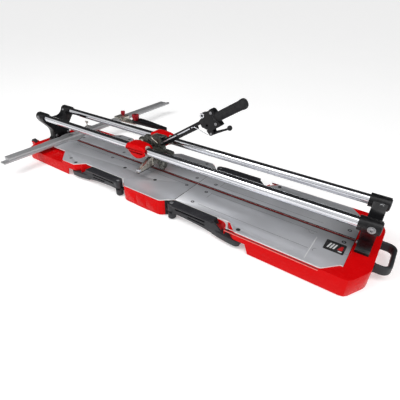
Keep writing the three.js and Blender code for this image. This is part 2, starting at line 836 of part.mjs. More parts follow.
// The hood of the lever casting stands over the root of the handle bar and clear of it.
function leverHood() {
  const low = leverPivotZ;
  const cheek = outline([
    [-76, low],
    [-76, low + 29, 3],
    [-34, low + 31, 3],
    [-24, low + 24, 3],
    [-34, low + 4, 3],
  ]);
  const roof = outline([[-75, low + 25], [-75, low + 29], [-34, low + 31], [-34, low + 27]]);
  return join(
    side(cheek, 15.6, 20),
    side(cheek, -20, -15.6),
    side(roof, -17, 17),
    box(-76, -71, -17, 17, low + 3, low + 27),
  );
}

function leverCasting() {
  const wheelZ = tableTop + wheelClearance + wheelRadius;
  const shape = outline([
    [leverPivotX - 14, leverPivotZ - 11, 12],
    [leverPivotX - 14, leverPivotZ + 13, 12],
    [-70, leverPivotZ + 14, 6],
    [...onHandle(21.7, 4), 2],
    [...onHandle(21.7, -22), 4],
    [-25, tableTop + 84, 6],
    [-24, tableTop + 34, 6],
    [wheelX + 9, wheelZ - 4, 4],
    [wheelX - 9, wheelZ - 4, 4],
    [-61, tableTop + 38, 6],
    [-61, leverPivotZ - 13, 4],
  ]);
  const slot = box(-70, -15, -2.2, 2.2, tableTop - 1, wheelZ + wheelRadius + 2);
  const pinHole = cylinder(5 + slack, [leverPivotX, -15, leverPivotZ], [leverPivotX, 15, leverPivotZ], 20);
  const axleHole = cylinder(2.5 + slack, [wheelX, -15, wheelZ], [wheelX, 15, wheelZ], 16);
  const body = solidOf(side(shape, -9, 9)).add(leverHood());
  addPart("lever_casting", cut(body, slot, pinHole, axleHole), "darkSteel");
  const pinEnds = [-20, 20].map((y) => [leverPivotX, y, leverPivotZ]);
  addPart("lever_pin", cylinder(5, ...pinEnds, 20), "chrome");
  addPart("wheel_axle", cylinder(2.5, [wheelX, -8.8, wheelZ], [wheelX, 8.8, wheelZ], 16), "chrome");
  const rim = [[2.9, -1.6], [7, -1.6], [wheelRadius, 0], [7, 1.6], [2.9, 1.6], [2.9, -1.6]];
  const wheel = turned(rim, 0, 0, 0, 24).rotateX(Math.PI / 2).translate(wheelX, 0, wheelZ);
  addPart("scoring_wheel", wheel, "nickel");
}

const triggerPivot = [262, -51.5];

function handle() {
  const upper = side(handleOutline([[22, -9.5], [238, -9.5], [238, 2, 2], [22, 2]]), -8, 8);
  const lower = side(handleOutline([[34, -20, 3], [212, -20, 3], [212, -8.5], [22, -8.5], [22, -14]]), -7, 7);
  addPart("handle_bar", join(upper, lower), "blackPaint");

  const head = side(
    handleOutline(
      [
        [238.3, 3],
        [252, 7],
        [249, 16, 6],
        [258, 23, 5],
        [273, 17, 3],
        [292, 18],
        [300, 20, 2],
        [307, 14, 3],
        [309, 3],
        [309, -28],
        [312, -42, 3],
        [300, -43],
        [268, -43],
        [254, -36, 4],
        [244, -24, 6],
        [238.3, -20],
      ],
      [[261, -22, 4.5]],
    ),
    -11,
    11,
    3,
  );
  const lugShape = handleOutline([[250, -36], [274, -36], [272, -58, 6], [254, -58, 6]]);
  const lugs = [side(lugShape, -11, -6.5), side(lugShape, 6.5, 11)];
  const axis = (along) => {
    const [x, z] = onHandle(along, -12);
    return [x, 0, z];
  };
  const core = cylinder(8, axis(305), axis(400), 20);
  const at = onHandle(...triggerPivot);
  const pinHole = cylinder(2.5 + gap, [at[0], -12, at[1]], [at[0], 12, at[1]], 14);
  addPart("handle_head", cut(join(head, ...lugs, core), pinHole), "blackPaint");

  const profile = [
    [8 + gap, 0],
    [14, 0],
    [14.6, 4],
    [14.6, 88],
    [16.6, 98],
    [16.6, 107],
    [13, 114],
    [0, 115],
    [0, 92],
    [8 + gap, 92],
    [8 + gap, 0],
  ];
  const points = profile.map(([radius, height]) => new THREE.Vector2(radius, height));
  const grip = new THREE.LatheGeometry(points, 20);
  const direction = new THREE.Vector3(Math.cos(handleTilt), 0, Math.sin(handleTilt));
  grip.applyQuaternion(new THREE.Quaternion().setFromUnitVectors(unitY, direction)).translate(...axis(309.4));
  addPart("handle_grip", grip, "rubber");

  const bar = side(
    handleOutline(
      [
        [246, -49, 3],
        [256, -46, 3],
        [296, -51, 6],
        [326, -57],
        [326, -64],
        [296, -61, 6],
        [268, -58, 4],
        [250, -56, 4],
      ],
      [[...triggerPivot, 2.5 + slack]],
    ),
    -5.8,
    5.8,
    6,
  );
  const [ballX, ballZ] = onHandle(331, -61);
  const ball = new THREE.SphereGeometry(8.5, 14, 8).translate(ballX, 0, ballZ);
  addPart("trigger", join(bar, ball), "blackPaint");
  addPart("trigger_pin", cylinder(2.5, [at[0], -10.8, at[1]], [at[0], 10.8, at[1]], 14), "chrome");
}

// The release rod along the handle and the thin cable from its end down to the trigger.
function releaseCable() {
  const route = [
    [203, -6, -11.5],
    [211, -10, -11],
    [219, -21, -8.5],
    [227, -33, -5],
    [234, -44, -2],
    [240, -51, 0],
  ].map(([along, above, y]) => {
    const [x, z] = onHandle(along, above);
    return new THREE.Vector3(x, y, z);
  });
  const circle = new THREE.Shape().absarc(0, 0, 1.2, 0, 2 * Math.PI);
  const cable = new THREE.ExtrudeGeometry(circle, {
    steps: 14,
    curveSegments: 4,
    extrudePath: new THREE.CatmullRomCurve3(route),
  });
  const [x0, z0] = onHandle(24, -6);
  const [x1, z1] = onHandle(205, -6);
  const rod = cylinder(3, [x0, -11.5, z0], [x1, -11.5, z1], 14);
  addPart("release_cable", join(rod, cable), "chrome");
}

// ---------------------------------------------------------------- assembly
baseBeam();
breakingBar();
addPart("right_housing", endHousing(1), "redPlastic");
addPart("left_housing", endHousing(-1).add(join(...rollerEars())), "redPlastic");
middleHousing();
endFeet();
tablePlates();
addPart("right_rod_support", rodSupport(1, housingTop(1) + gap), "blackPaint");
addPart("left_rod_support", rodSupport(-1, beamTop + gap), "blackPaint");
addPart("front_rod", cylinder(rodRadius, [-rodEndX, -rodY, rodZ], [rodEndX, -rodY, rodZ], 24), "chrome");
addPart("rear_rod", cylinder(rodRadius, [-rodEndX, rodY, rodZ], [rodEndX, rodY, rodZ], 24), "chrome");
endHandle();
transportRollers();
corners.forEach(sideArm);
fence();
fenceStop();
carriage();
breakerFoot();
leverCasting();
handle();
releaseCable();

export default tileCutter;
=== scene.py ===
"""Looks for the tile cutter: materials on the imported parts, finer pieces where the parts are plain, a pale
floor, soft studio light and the camera. Pieces are shaped in millimetres and scaled to metres when they are
made; +X runs along the rods towards the carrying handle and -Y is the front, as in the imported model."""

import math

import bmesh
import bpy
from mathutils import Matrix, Vector


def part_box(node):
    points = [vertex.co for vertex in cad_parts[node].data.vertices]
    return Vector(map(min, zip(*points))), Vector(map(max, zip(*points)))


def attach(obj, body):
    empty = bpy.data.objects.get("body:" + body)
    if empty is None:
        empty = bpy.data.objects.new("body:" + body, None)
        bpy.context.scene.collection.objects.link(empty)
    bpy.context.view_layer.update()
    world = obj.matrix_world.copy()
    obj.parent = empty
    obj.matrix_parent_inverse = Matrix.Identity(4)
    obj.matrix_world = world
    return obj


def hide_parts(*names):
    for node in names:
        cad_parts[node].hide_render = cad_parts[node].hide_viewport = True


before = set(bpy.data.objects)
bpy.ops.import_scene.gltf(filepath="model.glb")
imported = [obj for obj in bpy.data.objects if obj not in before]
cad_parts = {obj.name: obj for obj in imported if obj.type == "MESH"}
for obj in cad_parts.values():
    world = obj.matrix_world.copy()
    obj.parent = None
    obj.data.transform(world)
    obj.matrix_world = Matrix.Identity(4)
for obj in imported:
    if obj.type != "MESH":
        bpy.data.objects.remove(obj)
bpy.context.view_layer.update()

MM = 0.001
X, Y, Z = Vector((1, 0, 0)), Vector((0, 1, 0)), Vector((0, 0, 1))
SIDES = (("front", -1), ("rear", 1))


def span(node):
    """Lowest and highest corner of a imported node, in millimetres."""
    low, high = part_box(node)
    return low / MM, high / MM


def middle(node):
    low, high = span(node)
    return (low + high) / 2


def on_side(sign, near, far):
    """Two distances from the middle as limits on its + or - side, the lower one first."""
    return sorted((sign * near, sign * far))


# ---------------------------------------------------------------- materials
class Finish:
    """A node material under construction: a Principled shader and the object's own coordinates."""

    def __init__(self, name, colour, roughness, metallic=0.0, **sockets):
        self.material = bpy.data.materials.new(name)
        self.material.use_nodes = True
        self.material.diffuse_color = (*colour, 1)
        self.tree = self.material.node_tree
        self.shader = self.tree.nodes["Principled BSDF"]
        self.shader.inputs["Base Color"].default_value = (*colour, 1)
        self.shader.inputs["Roughness"].default_value = roughness
        self.shader.inputs["Metallic"].default_value = metallic
        for socket, value in sockets.items():
            self.shader.inputs[socket.replace("_", " ")].default_value = value
        self.coordinates = self.tree.nodes.new("ShaderNodeTexCoord").outputs["Object"]

    def node(self, kind, **settings):
        made = self.tree.nodes.new(kind)
        for key, value in settings.items():
            setattr(made, key, value)
        return made

    def link(self, source, target):
        self.tree.links.new(source, target)

    def stretched(self, scale):
        mapping = self.node("ShaderNodeMapping")
        mapping.inputs["Scale"].default_value = scale
        self.link(self.coordinates, mapping.inputs["Vector"])
        return mapping.outputs["Vector"]

    def noise(self, scale, detail=4.0, stretch=None):
        made = self.node("ShaderNodeTexNoise")
        made.inputs["Scale"].default_value = scale
        made.inputs["Detail"].default_value = detail
        self.link(self.stretched(stretch) if stretch else self.coordinates, made.inputs["Vector"])
        return made.outputs["Fac"]

    def cells(self, scale, stretch=None):
        made = self.node("ShaderNodeTexVoronoi")
        made.inputs["Scale"].default_value = scale
        self.link(self.stretched(stretch) if stretch else self.coordinates, made.inputs["Vector"])
        return made.outputs["Distance"]

    def remap(self, value, low, high, start=0.3, stop=0.7):
        made = self.node("ShaderNodeMapRange")
        for socket, number in (("From Min", start), ("From Max", stop), ("To Min", low), ("To Max", high)):
            made.inputs[socket].default_value = number
        self.link(value, made.inputs["Value"])
        return made.outputs["Result"]

    def mix(self, factor, first, second):
        made = self.node("ShaderNodeMix", data_type="RGBA")
        self.link(factor, made.inputs["Factor"])
        for socket, colour in ((made.inputs[6], first), (made.inputs[7], second)):
            if isinstance(colour, tuple):
                socket.default_value = (*colour, 1)
            else:
                self.link(colour, socket)
        return made.outputs[2]

    def size(self, value):
        made = self.node("ShaderNodeMath", operation="ABSOLUTE")
        self.link(value, made.inputs[0])
        return made.outputs[0]

    def product(self, first, second):
        made = self.node("ShaderNodeMath", operation="MULTIPLY")
        self.link(first, made.inputs[0])
        self.link(second, made.inputs[1])
        return made.outputs[0]

    def colour(self, source):
        self.link(source, self.shader.inputs["Base Color"])

    def roughness(self, source):
        self.link(source, self.shader.inputs["Roughness"])

    def bump(self, height, strength, distance):
        made = self.node("ShaderNodeBump")
        made.inputs["Strength"].default_value = strength
        made.inputs["Distance"].default_value = distance
        self.link(height, made.inputs["Height"])
        previous = self.shader.inputs["Normal"].links
        if previous:
            self.link(previous[0].from_socket, made.inputs["Normal"])
        self.link(made.outputs["Normal"], self.shader.inputs["Normal"])

    def edge_mask(self, start=0.52, stop=0.6):
        """1 along convex edges, broken up by noise, 0 elsewhere."""
        pointiness = self.node("ShaderNodeNewGeometry").outputs["Pointiness"]
        edge = self.remap(pointiness, 0, 1, start, stop)
        chipped = self.remap(self.noise(160), 0, 1, 0.42, 0.6)
        return self.product(edge, chipped)


def moulded_red(name):
    """The red of the mouldings under construction, and its slightly mottled colour."""
    f = Finish(name, (0.66, 0.003, 0.004), 0.2, Specular_IOR_Level=0.03, Coat_Weight=0.07,
               Coat_Roughness=0.05)
    mottled = f.mix(f.remap(f.noise(9), 0, 1), (0.62, 0.003, 0.004), (0.54, 0.002, 0.003))
    f.roughness(f.remap(f.noise(60), 0.2, 0.32))
    f.bump(f.noise(420, 2), 0.04, 0.0001)
    return f, mottled


def red_plastic():
    f, mottled = moulded_red("red_plastic")
    f.colour(mottled)
    return f.material


def knob_red():
    f = Finish("knob_red", (0.3, 0.003, 0.01), 0.3, Specular_IOR_Level=0.3)
    f.colour(f.mix(f.remap(f.noise(40), 0, 1), (0.34, 0.003, 0.012), (0.24, 0.002, 0.008)))
    f.roughness(f.remap(f.noise(90), 0.24, 0.4))
    f.bump(f.noise(500, 2), 0.15, 0.0002)
    return f.material


# Where the side arms' hinge lugs are on the housings, as distances from the middle, in metres.
LUG_INNER_X, LUG_OUTER_X, LUG_Y = 0.101, 0.2, 0.1395


def housing_red():
    """The housings' red, turning black on the hinge lugs of the side arms."""
    f, mottled = moulded_red("housing_red")
    split = f.node("ShaderNodeSeparateXYZ")
    f.link(f.coordinates, split.inputs["Vector"])
    along_rods = f.size(split.outputs["X"])
    past_inner = f.remap(along_rods, 0, 1, LUG_INNER_X, LUG_INNER_X + 0.0005)
    before_outer = f.remap(along_rods, 1, 0, LUG_OUTER_X, LUG_OUTER_X + 0.001)
    outside = f.remap(f.size(split.outputs["Y"]), 0, 1, LUG_Y, LUG_Y + 0.0005)
    lug = f.product(f.product(past_inner, outside), before_outer)
    f.colour(f.mix(lug, mottled, (0.02, 0.02, 0.021)))
    return f.material


def plate_aluminium():
    f = Finish("plate_aluminium", (0.52, 0.53, 0.56), 0.38, 0.55, Specular_IOR_Level=0.4)
    brushed = f.noise(90, 6, (0.03, 1, 1))
    split = f.node("ShaderNodeSeparateXYZ")
    f.link(f.node("ShaderNodeTexCoord").outputs["Normal"], split.inputs["Vector"])
    # Faces that do not point up, the plates' sides and edge bevels, are painted near white and less
    # metallic: a painted highlight along the plate edges.
    side_face_highlight = f.remap(split.outputs["Z"], 1, 0, 0.5, 0.95)
    face = f.mix(f.remap(f.noise(7, 3), 0, 1), (0.66, 0.67, 0.7), (0.54, 0.55, 0.58))
    f.colour(f.mix(side_face_highlight, face, (0.98, 0.98, 0.98)))
    f.link(f.remap(side_face_highlight, 0.55, 0.1, 0, 1), f.shader.inputs["Metallic"])
    f.roughness(f.remap(brushed, 0.3, 0.42))
    f.bump(brushed, 0.02, 0.0001)
    return f.material


def beam_aluminium():
    f = Finish("beam_aluminium", (0.55, 0.56, 0.58), 0.35, 1.0)
    drawn = f.noise(30, 5, (1, 50, 50))
    f.roughness(f.remap(drawn, 0.28, 0.45))
    f.colour(f.mix(f.remap(f.noise(5), 0, 1), (0.6, 0.61, 0.63), (0.48, 0.49, 0.51)))
    f.bump(drawn, 0.15, 0.0003)
    return f.material


def anodised():
    f = Finish("anodised", (0.44, 0.44, 0.45), 0.42, 0.5)
    f.colour(f.mix(f.remap(f.noise(6, 3, (1, 0.2, 1)), 0, 1), (0.48, 0.48, 0.49), (0.38, 0.38, 0.39)))
    f.roughness(f.remap(f.noise(50, 5, (40, 1, 40)), 0.36, 0.5))
    f.bump(f.noise(50, 5, (40, 1, 40)), 0.12, 0.0002)
    return f.material


def chrome():
    f = Finish("chrome", (0.78, 0.79, 0.82), 0.07, 1.0)
    f.roughness(f.remap(f.noise(26, 4, (0.2, 1, 1)), 0.07, 0.14))
    f.colour(f.mix(f.remap(f.noise(11), 0, 1), (0.74, 0.75, 0.78), (0.64, 0.65, 0.69)))
    f.bump(f.noise(120, 2, (0.05, 1, 1)), 0.01, 0.00005)
    return f.material


def nickel():
    f = Finish("nickel", (0.6, 0.57, 0.51), 0.28, 0.85)
    f.colour(f.mix(f.remap(f.noise(35), 0, 1), (0.68, 0.65, 0.59), (0.44, 0.42, 0.36)))
    f.roughness(f.remap(f.noise(90), 0.16, 0.36))
    f.bump(f.noise(260, 3), 0.25, 0.0003)
    return f.material


def cast_metal():
    f = Finish("cast_metal", (0.04, 0.042, 0.036), 0.36, 0.5, Specular_IOR_Level=0.35)
    skin = f.mix(f.remap(f.noise(45), 0, 1), (0.07, 0.073, 0.062), (0.03, 0.031, 0.027))
    f.colour(f.mix(f.edge_mask(), skin, (0.32, 0.32, 0.29)))
    f.roughness(f.remap(f.noise(70), 0.28, 0.5))
    f.bump(f.noise(330, 5), 0.45, 0.0006)
    return f.material


def black_paint():
    f = Finish("black_paint", (0.004, 0.004, 0.005), 0.26, Specular_IOR_Level=0.18, Coat_Weight=0.1,
               Coat_Roughness=0.12)
    f.colour(f.mix(f.edge_mask(0.54, 0.62), (0.006, 0.006, 0.007), (0.06, 0.06, 0.06)))
    f.roughness(f.remap(f.noise(80), 0.24, 0.42))
    f.bump(f.noise(700, 3), 0.12, 0.0002)
    return f.material


def black_plastic():
    f = Finish("black_plastic", (0.02, 0.02, 0.023), 0.45, Specular_IOR_Level=0.3)
    f.colour(f.mix(f.remap(f.noise(14), 0, 1), (0.03, 0.03, 0.034), (0.017, 0.017, 0.02)))
    f.roughness(f.remap(f.noise(40), 0.38, 0.54))
    f.bump(f.cells(1400), 0.25, 0.0002)
    return f.material


def rubber():
    f = Finish("rubber", (0.016, 0.016, 0.017), 0.7)
    f.colour(f.mix(f.remap(f.noise(50), 0, 1), (0.022, 0.022, 0.023), (0.012, 0.012, 0.013)))
    f.roughness(f.remap(f.noise(90), 0.6, 0.82))
    f.bump(f.cells(900), 0.35, 0.0004)
    return f.material


def grip_rubber():
    f = Finish("grip_rubber", (0.012, 0.012, 0.013), 0.6, Specular_IOR_Level=0.3)
    f.colour(f.mix(f.remap(f.noise(70), 0, 1), (0.017, 0.017, 0.018), (0.008, 0.008, 0.009)))
    f.roughness(f.remap(f.noise(60), 0.52, 0.72))
    f.bump(f.cells(480), 0.6, 0.0008)
    return f.material


def red_paint():
    f = Finish("red_paint", (0.2, 0.006, 0.008), 0.35, 0.1)
    rubbed = f.remap(f.noise(30, 6, (1, 20, 20)), 0, 1, 0.62, 0.72)
    paint = f.mix(f.remap(f.noise(12), 0, 1), (0.27, 0.01, 0.01), (0.17, 0.006, 0.006))
    f.colour(f.mix(rubbed, paint, (0.4, 0.3, 0.3)))
    f.roughness(f.remap(f.noise(60), 0.28, 0.5))
    f.bump(f.noise(200, 4, (1, 8, 8)), 0.2, 0.0003)
    return f.material


def dark_steel():
    f = Finish("dark_steel", (0.1, 0.1, 0.105), 0.4, 0.7)
    f.colour(f.mix(f.remap(f.noise(200), 0, 1), (0.13, 0.13, 0.135), (0.07, 0.07, 0.075)))
    f.roughness(f.remap(f.noise(120), 0.34, 0.5))
    f.bump(f.noise(400), 0.15, 0.0002)
    return f.material


def zinc():
    f = Finish("zinc", (0.34, 0.34, 0.35), 0.35, 1.0)
    f.colour(f.mix(f.remap(f.cells(300), 0, 1, 0.1, 0.6), (0.4, 0.4, 0.41), (0.26, 0.26, 0.27)))
    f.roughness(f.remap(f.noise(120), 0.28, 0.46))
    f.bump(f.noise(400), 0.2, 0.0002)
    return f.material


def polymer():
    f = Finish("polymer", (0.66, 0.62, 0.54), 0.5)
    f.colour(f.mix(f.remap(f.noise(30), 0, 1), (0.7, 0.66, 0.58), (0.6, 0.56, 0.48)))
    f.roughness(f.remap(f.noise(80), 0.42, 0.6))
    f.bump(f.noise(500), 0.2, 0.0002)
    return f.material


# A flat colour with faint random tone. It serves print, and it also serves painted shade and painted
# highlights.
def ink(name, colour, roughness=0.4):
    f = Finish(name, colour, roughness)
    darker = tuple(0.75 * c for c in colour)
    f.colour(f.mix(f.remap(f.noise(220), 0, 1, 0.35, 0.75), colour, darker))
    f.roughness(f.remap(f.noise(150), roughness - 0.06, roughness + 0.1))
    return f.material


RED = red_plastic()
HOUSING = housing_red()
KNOB = knob_red()
PLATE = plate_aluminium()
BEAM = beam_aluminium()
ANODISED = anodised()
CHROME = chrome()
NICKEL = nickel()
CAST = cast_metal()
PAINT = black_paint()
PLASTIC = black_plastic()
RUBBER = rubber()
GRIP = grip_rubber()
RED_PAINT = red_paint()
ZINC = zinc()
STEEL = dark_steel()
POLYMER = polymer()
# The black serves the label's print and the painted shade along the plate seams. The white serves print and
# the painted highlight along the right plates' outer edges.
BLACK_INK_AND_SHADE = ink("black_ink_and_shade", (0.012, 0.012, 0.012), 0.3)
WHITE_INK_AND_HIGHLIGHT = ink("white_ink_and_highlight", (0.75, 0.75, 0.75))
RED_INK = ink("red_ink", (0.55, 0.01, 0.012))
# Painted shade for the gap along the top of the right housing, and a painted highlight for the lip below it.
PAINTED_SHADE_RED = ink("painted_shade_red", (0.11, 0.002, 0.003))
PAINTED_HIGHLIGHT_RED = ink("painted_highlight_red", (0.9, 0.16, 0.14), 0.25)
GREY_INK = ink("grey_ink", (0.16, 0.16, 0.17))


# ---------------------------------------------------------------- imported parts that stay
def finish_node(node, material, edge=0.6, segments=2):
    """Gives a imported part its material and, with modifiers only, small round edges."""
    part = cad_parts[node]
    part.data.materials.clear()
    part.data.materials.append(material)
    weld = part.modifiers.new("weld", "WELD")
    weld.merge_threshold = 0.00002
    if edge:
        bevel = part.modifiers.new("edges", "BEVEL")
        bevel.width = edge * MM
        bevel.segments = segments
        bevel.limit_method = "ANGLE"
        bevel.angle_limit = math.radians(28)
        bevel.harden_normals = True
        bevel.use_clamp_overlap = True
    for polygon in part.data.polygons:
        polygon.use_smooth = True


def finish_nodes():
    finish_node("base_beam", BEAM, 0.8)
    finish_node("breaking_bar", RED_PAINT, 0.4)
    for part in ("left", "middle", "right"):
        finish_node(f"{part}_housing", HOUSING, 2.2, 3)
    for side in ("left", "right"):
        finish_node(f"{side}_rod_support", PAINT, 2.4, 3)
        for end, _ in SIDES:
            finish_node(f"{end}_{side}_plate", PLATE, 0.7)
            finish_node(f"{end}_{side}_cushion", RUBBER, 0.5)
            finish_node(f"{end}_{side}_foot", RUBBER, 0.6)
            finish_node(f"{end}_{side}_arm", PLASTIC, 1.2, 3)
            finish_node(f"{end}_{side}_arm_pin", CHROME, 0.4)
    for end, _ in SIDES:
        finish_node(f"{end}_roller_pin", CHROME, 0.5)
        finish_node(f"{end}_rod_bush", POLYMER, 0.5)
        finish_node(f"{end}_foot_pad", RUBBER, 0.8)
    finish_node("fence_bar", ANODISED, 0.5)
    finish_node("fence_pivot_bolt", ZINC, 0.6)
    finish_node("fence_t_screw", NICKEL, 0.6)
    finish_node("stop_bracket", NICKEL, 0.7)
    finish_node("stop_arm", PAINT, 2.0, 3)
    finish_node("carriage_bridge", CAST, 1.4, 3)
    finish_node("lever_casting", CAST, 1.6, 3)
    finish_node("lever_pin", ZINC, 0.5)
    finish_node("wheel_axle", ZINC, 0.3)
    finish_node("scoring_wheel", NICKEL, 0)
    finish_node("breaker_foot", NICKEL, 1.6, 3)
    finish_node("handle_bar", PAINT, 1.6, 3)
    finish_node("handle_head", PAINT, 1.4, 3)
    finish_node("trigger_pin", ZINC, 0.4)


# ---------------------------------------------------------------- building pieces
def loft(bm, rings, closed=False):
    """Joins rings of points, all with the same count, into a skin, with flat ends unless it closes."""
    loops = [[bm.verts.new(point) for point in ring] for ring in rings]
    count = len(loops[0])
    pairs = list(zip(loops, loops[1:]))
    if closed:
        pairs.append((loops[-1], loops[0]))
    for first, second in pairs:
        for i in range(count):
            j = (i + 1) % count
            bm.faces.new((first[i], first[j], second[j], second[i]))
    if not closed:
        bm.faces.new(reversed(loops[0]))
        bm.faces.new(loops[-1])


def along(origin, direction):
    """The matrix that stands local +Z on a direction at a point."""
    turn = Vector(direction).normalized().to_track_quat("Z", "Y").to_matrix().to_4x4()
    return Matrix.Translation(Vector(origin)) @ turn


def circle(radius, height, count=48):
    angles = [2 * math.pi * i / count for i in range(count)]
    return [Vector((radius * math.cos(a), radius * math.sin(a), height)) for a in angles]


def lobed(radius, height, lobes, depth, count=96):
    ring = []
    for i in range(count):
        angle = 2 * math.pi * i / count
        reach = radius + depth * math.cos(lobes * angle)
        ring.append(Vector((reach * math.cos(angle), reach * math.sin(angle), height)))
    return ring


def hexagon(across, height, count=48):
    """A hexagon with `across` over its flats, with as many points as a circle of that count."""
    ring = []
    for i in range(count):
        angle = 2 * math.pi * i / count
        reach = across / 2 / math.cos((angle + math.pi / 6) % (math.pi / 3) - math.pi / 6)
        ring.append(Vector((reach * math.cos(angle), reach * math.sin(angle), height)))
    return ring


def rounded_box_ring(half_a, half_b, corner, steps=4):
    """An upright rounded rectangle in the plane of its first two coordinates."""
    ring = []
    for k, (sa, sb) in enumerate(((1, 1), (-1, 1), (-1, -1), (1, -1))):
        for i in range(steps + 1):
            angle = math.pi / 2 * (k + i / steps)
            ring.append((sa * (half_a - corner) + corner * math.cos(angle),
                         sb * (half_b - corner) + corner * math.sin(angle)))
    return ring


def lathe(bm, profile, matrix, count=48):
    """Turns [radius, height] points about the matrix's Z axis; the ends are closed flat."""
    rings = [[matrix @ p for p in circle(max(radius, 0.01), height, count)] for radius, height in profile]
    loft(bm, rings)


def tube(bm, path, radius, sides=16):
    """A round bar along a list of points, its ends closed."""
    rings = []
    for i, point in enumerate(path):
        ahead = path[min(i + 1, len(path) - 1)] - path[max(i - 1, 0)]
        matrix = along(point, ahead)
        rings.append([matrix @ p for p in circle(radius, 0, sides)])
    loft(bm, rings)


def plate_ring(bm, outline, z0, z1):
    """A flat piece with a plan outline between two heights."""
    loft(bm, [[Vector((x, y, z)) for x, y in outline] for z in (z0, z1)])


def strip(bm, x0, x1, y0, y1, z0, z1):
    plate_ring(bm, [(x0, y0), (x1, y0), (x1, y1), (x0, y1)], z0, z1)


def mesh_of(name, bm):
    """The mesh of a bmesh in millimetres, in metres and with its faces turned outwards."""
    bmesh.ops.remove_doubles(bm, verts=bm.verts, dist=0.001)
    bmesh.ops.recalc_face_normals(bm, faces=bm.faces)
    mesh = bpy.data.meshes.new(name)
    bm.to_mesh(mesh)
    bm.free()
    mesh.transform(Matrix.Scale(MM, 4))
    return mesh


def bored(mesh, bore):
    """The mesh with the shape of another bmesh cut out of it."""
    objects = [bpy.data.objects.new(mesh.name, m) for m in (mesh, mesh_of("bore", bore))]
    for made in objects:
        bpy.context.scene.collection.objects.link(made)
    cut = objects[0].modifiers.new("bore", "BOOLEAN")
    cut.object = objects[1]
    cut.operation = "DIFFERENCE"
    cut.solver = "EXACT"
    whole = objects[0].evaluated_get(bpy.context.evaluated_depsgraph_get())
    result = bpy.data.meshes.new_from_object(whole)
    for made in objects:
        bpy.data.objects.remove(made)
    return result


def piece(name, bm, material, body, replaces=(), edge=0.0, segments=2, sharp=35, bore=None):
    """Turns a bmesh in millimetres into a piece that rides on a body."""
    mesh = mesh_of(name, bm)
    if bore:
        mesh = bored(mesh, bore)
    mesh.materials.clear()
    mesh.materials.append(material)
    mesh.shade_smooth()
    mesh.set_sharp_from_angle(angle=math.radians(sharp))
    made = bpy.data.objects.new(name, mesh)
    bpy.context.scene.collection.objects.link(made)
    if edge:
        bevel = made.modifiers.new("edges", "BEVEL")
        bevel.width = edge * MM
        bevel.segments = segments
        bevel.limit_method = "ANGLE"
        bevel.angle_limit = math.radians(sharp)
        bevel.harden_normals = True
    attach(made, body)
    if replaces:
        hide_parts(*replaces)
    return made


# ---------------------------------------------------------------- rods, screws and end fittings
def rods():
    for end, _ in SIDES:
        node = f"{end}_rod"
        low, high = span(node)
        centre = middle(node)
        radius = (high.z - low.z) / 2
        length = high.x - low.x
        bm = bmesh.new()
        profile = [(0, 6), (2.5, 4), (2.5, 0), (radius - 1.2, 0), (radius, 1.2)]
        profile += [(radius, length - 1.2), (radius - 1.2, length), (2.5, length), (2.5, length - 4)]
        profile += [(0, length - 6)]
        lathe(bm, profile, along((low.x, centre.y, centre.z), X), 96)
        piece(f"{node}_bar", bm, CHROME, "base", [node])


def socket_screw(bm, at, direction, radius, height, across, ring=0.0):
    """A cap screw with a hexagon socket; `ring` adds a washer of that extra radius."""
    matrix = along(at, direction)
    if ring:
        lathe(bm, [(radius + ring, 0), (radius + ring, 1.2), (radius + 0.2, 1.6)], matrix)
    chamfer = 0.12 * radius
    rings = [circle(radius, 0), circle(radius, height - chamfer), circle(radius - chamfer, height)]
    rings += [hexagon(across, height), hexagon(across, 0.35 * height)]
    loft(bm, [[matrix @ p for p in points] for points in rings])


def clamp_screws():
    """The screw that clamps each rod on the front of its boss, and the black cap over the rod's end."""
    for side in ("left", "right"):
        low, high = span(f"{side}_rod_support")
        x = (low.x + high.x) / 2 + (8 if side == "right" else -8)
        for end, _ in SIDES:
            rod = middle(f"{end}_rod")
            boss_radius = 20.5
            bm = bmesh.new()
            socket_screw(bm, (x, rod.y - boss_radius + 1.2, rod.z), -Y, 7.5, 4.6, 6.5, ring=2.6)
            piece(f"{end}_{side}_clamp_screw", bm, ZINC, "base")
            bm = bmesh.new()
            profile = [(0, 0), (17.2, 0), (17.2, 1.4), (15.6, 2.6), (6, 3.2), (0, 3.4)]
            outer = X if side == "right" else -X
            face = high.x if side == "right" else low.x
            lathe(bm, profile, along((face, rod.y, rod.z), outer), 64)
            piece(f"{end}_{side}_rod_cap", bm, PLASTIC, "base")


def support_bolts():
    for side, s in (("left", -1), ("right", 1)):
        foot_z = span(f"{side}_rod_support")[0].z
        inner_face = 700
        bm = bmesh.new()
        for y in (-32, 32):
            at = (s * (inner_face - 0.4), y, foot_z + 22)
            socket_screw(bm, at, Vector((-s, 0, 0)), 5.2, 4, 5, ring=1.6)
        piece(f"{side}_support_bolts", bm, ZINC, "base")


def plate_screws():
    """Flush grey screws that hold the plates to what is under them."""
    spots = {
        "front_left": [(102, -33), (-442, -141), (-300, -33), (-120, -33)],
        "rear_left": [(102, 33), (66, 154), (-453, 151), (-586, 39), (-300, 33)],
        "front_right": [(189, -32), (186, -111), (667, -28)],
        "rear_right": [(189, 32), (186, 111), (667, 38)],
    }
    for corner, places in spots.items():
        top = span(f"{corner}_plate")[1].z
        row, side = corner.split("_")
        bm = bmesh.new()
        for x, y in places:
            matrix = along((x, y, top - 0.6), Z)
            rings = [circle(6.4, 0), circle(6.4, 0.75), circle(6, 0.95)]
            rings += [hexagon(5.4, 0.95), hexagon(5.4, 0.1)]
            loft(bm, [[matrix @ p for p in ring] for ring in rings])
        piece(f"{corner}_plate_screws", bm, STEEL, f"plate_{row}_{side}")


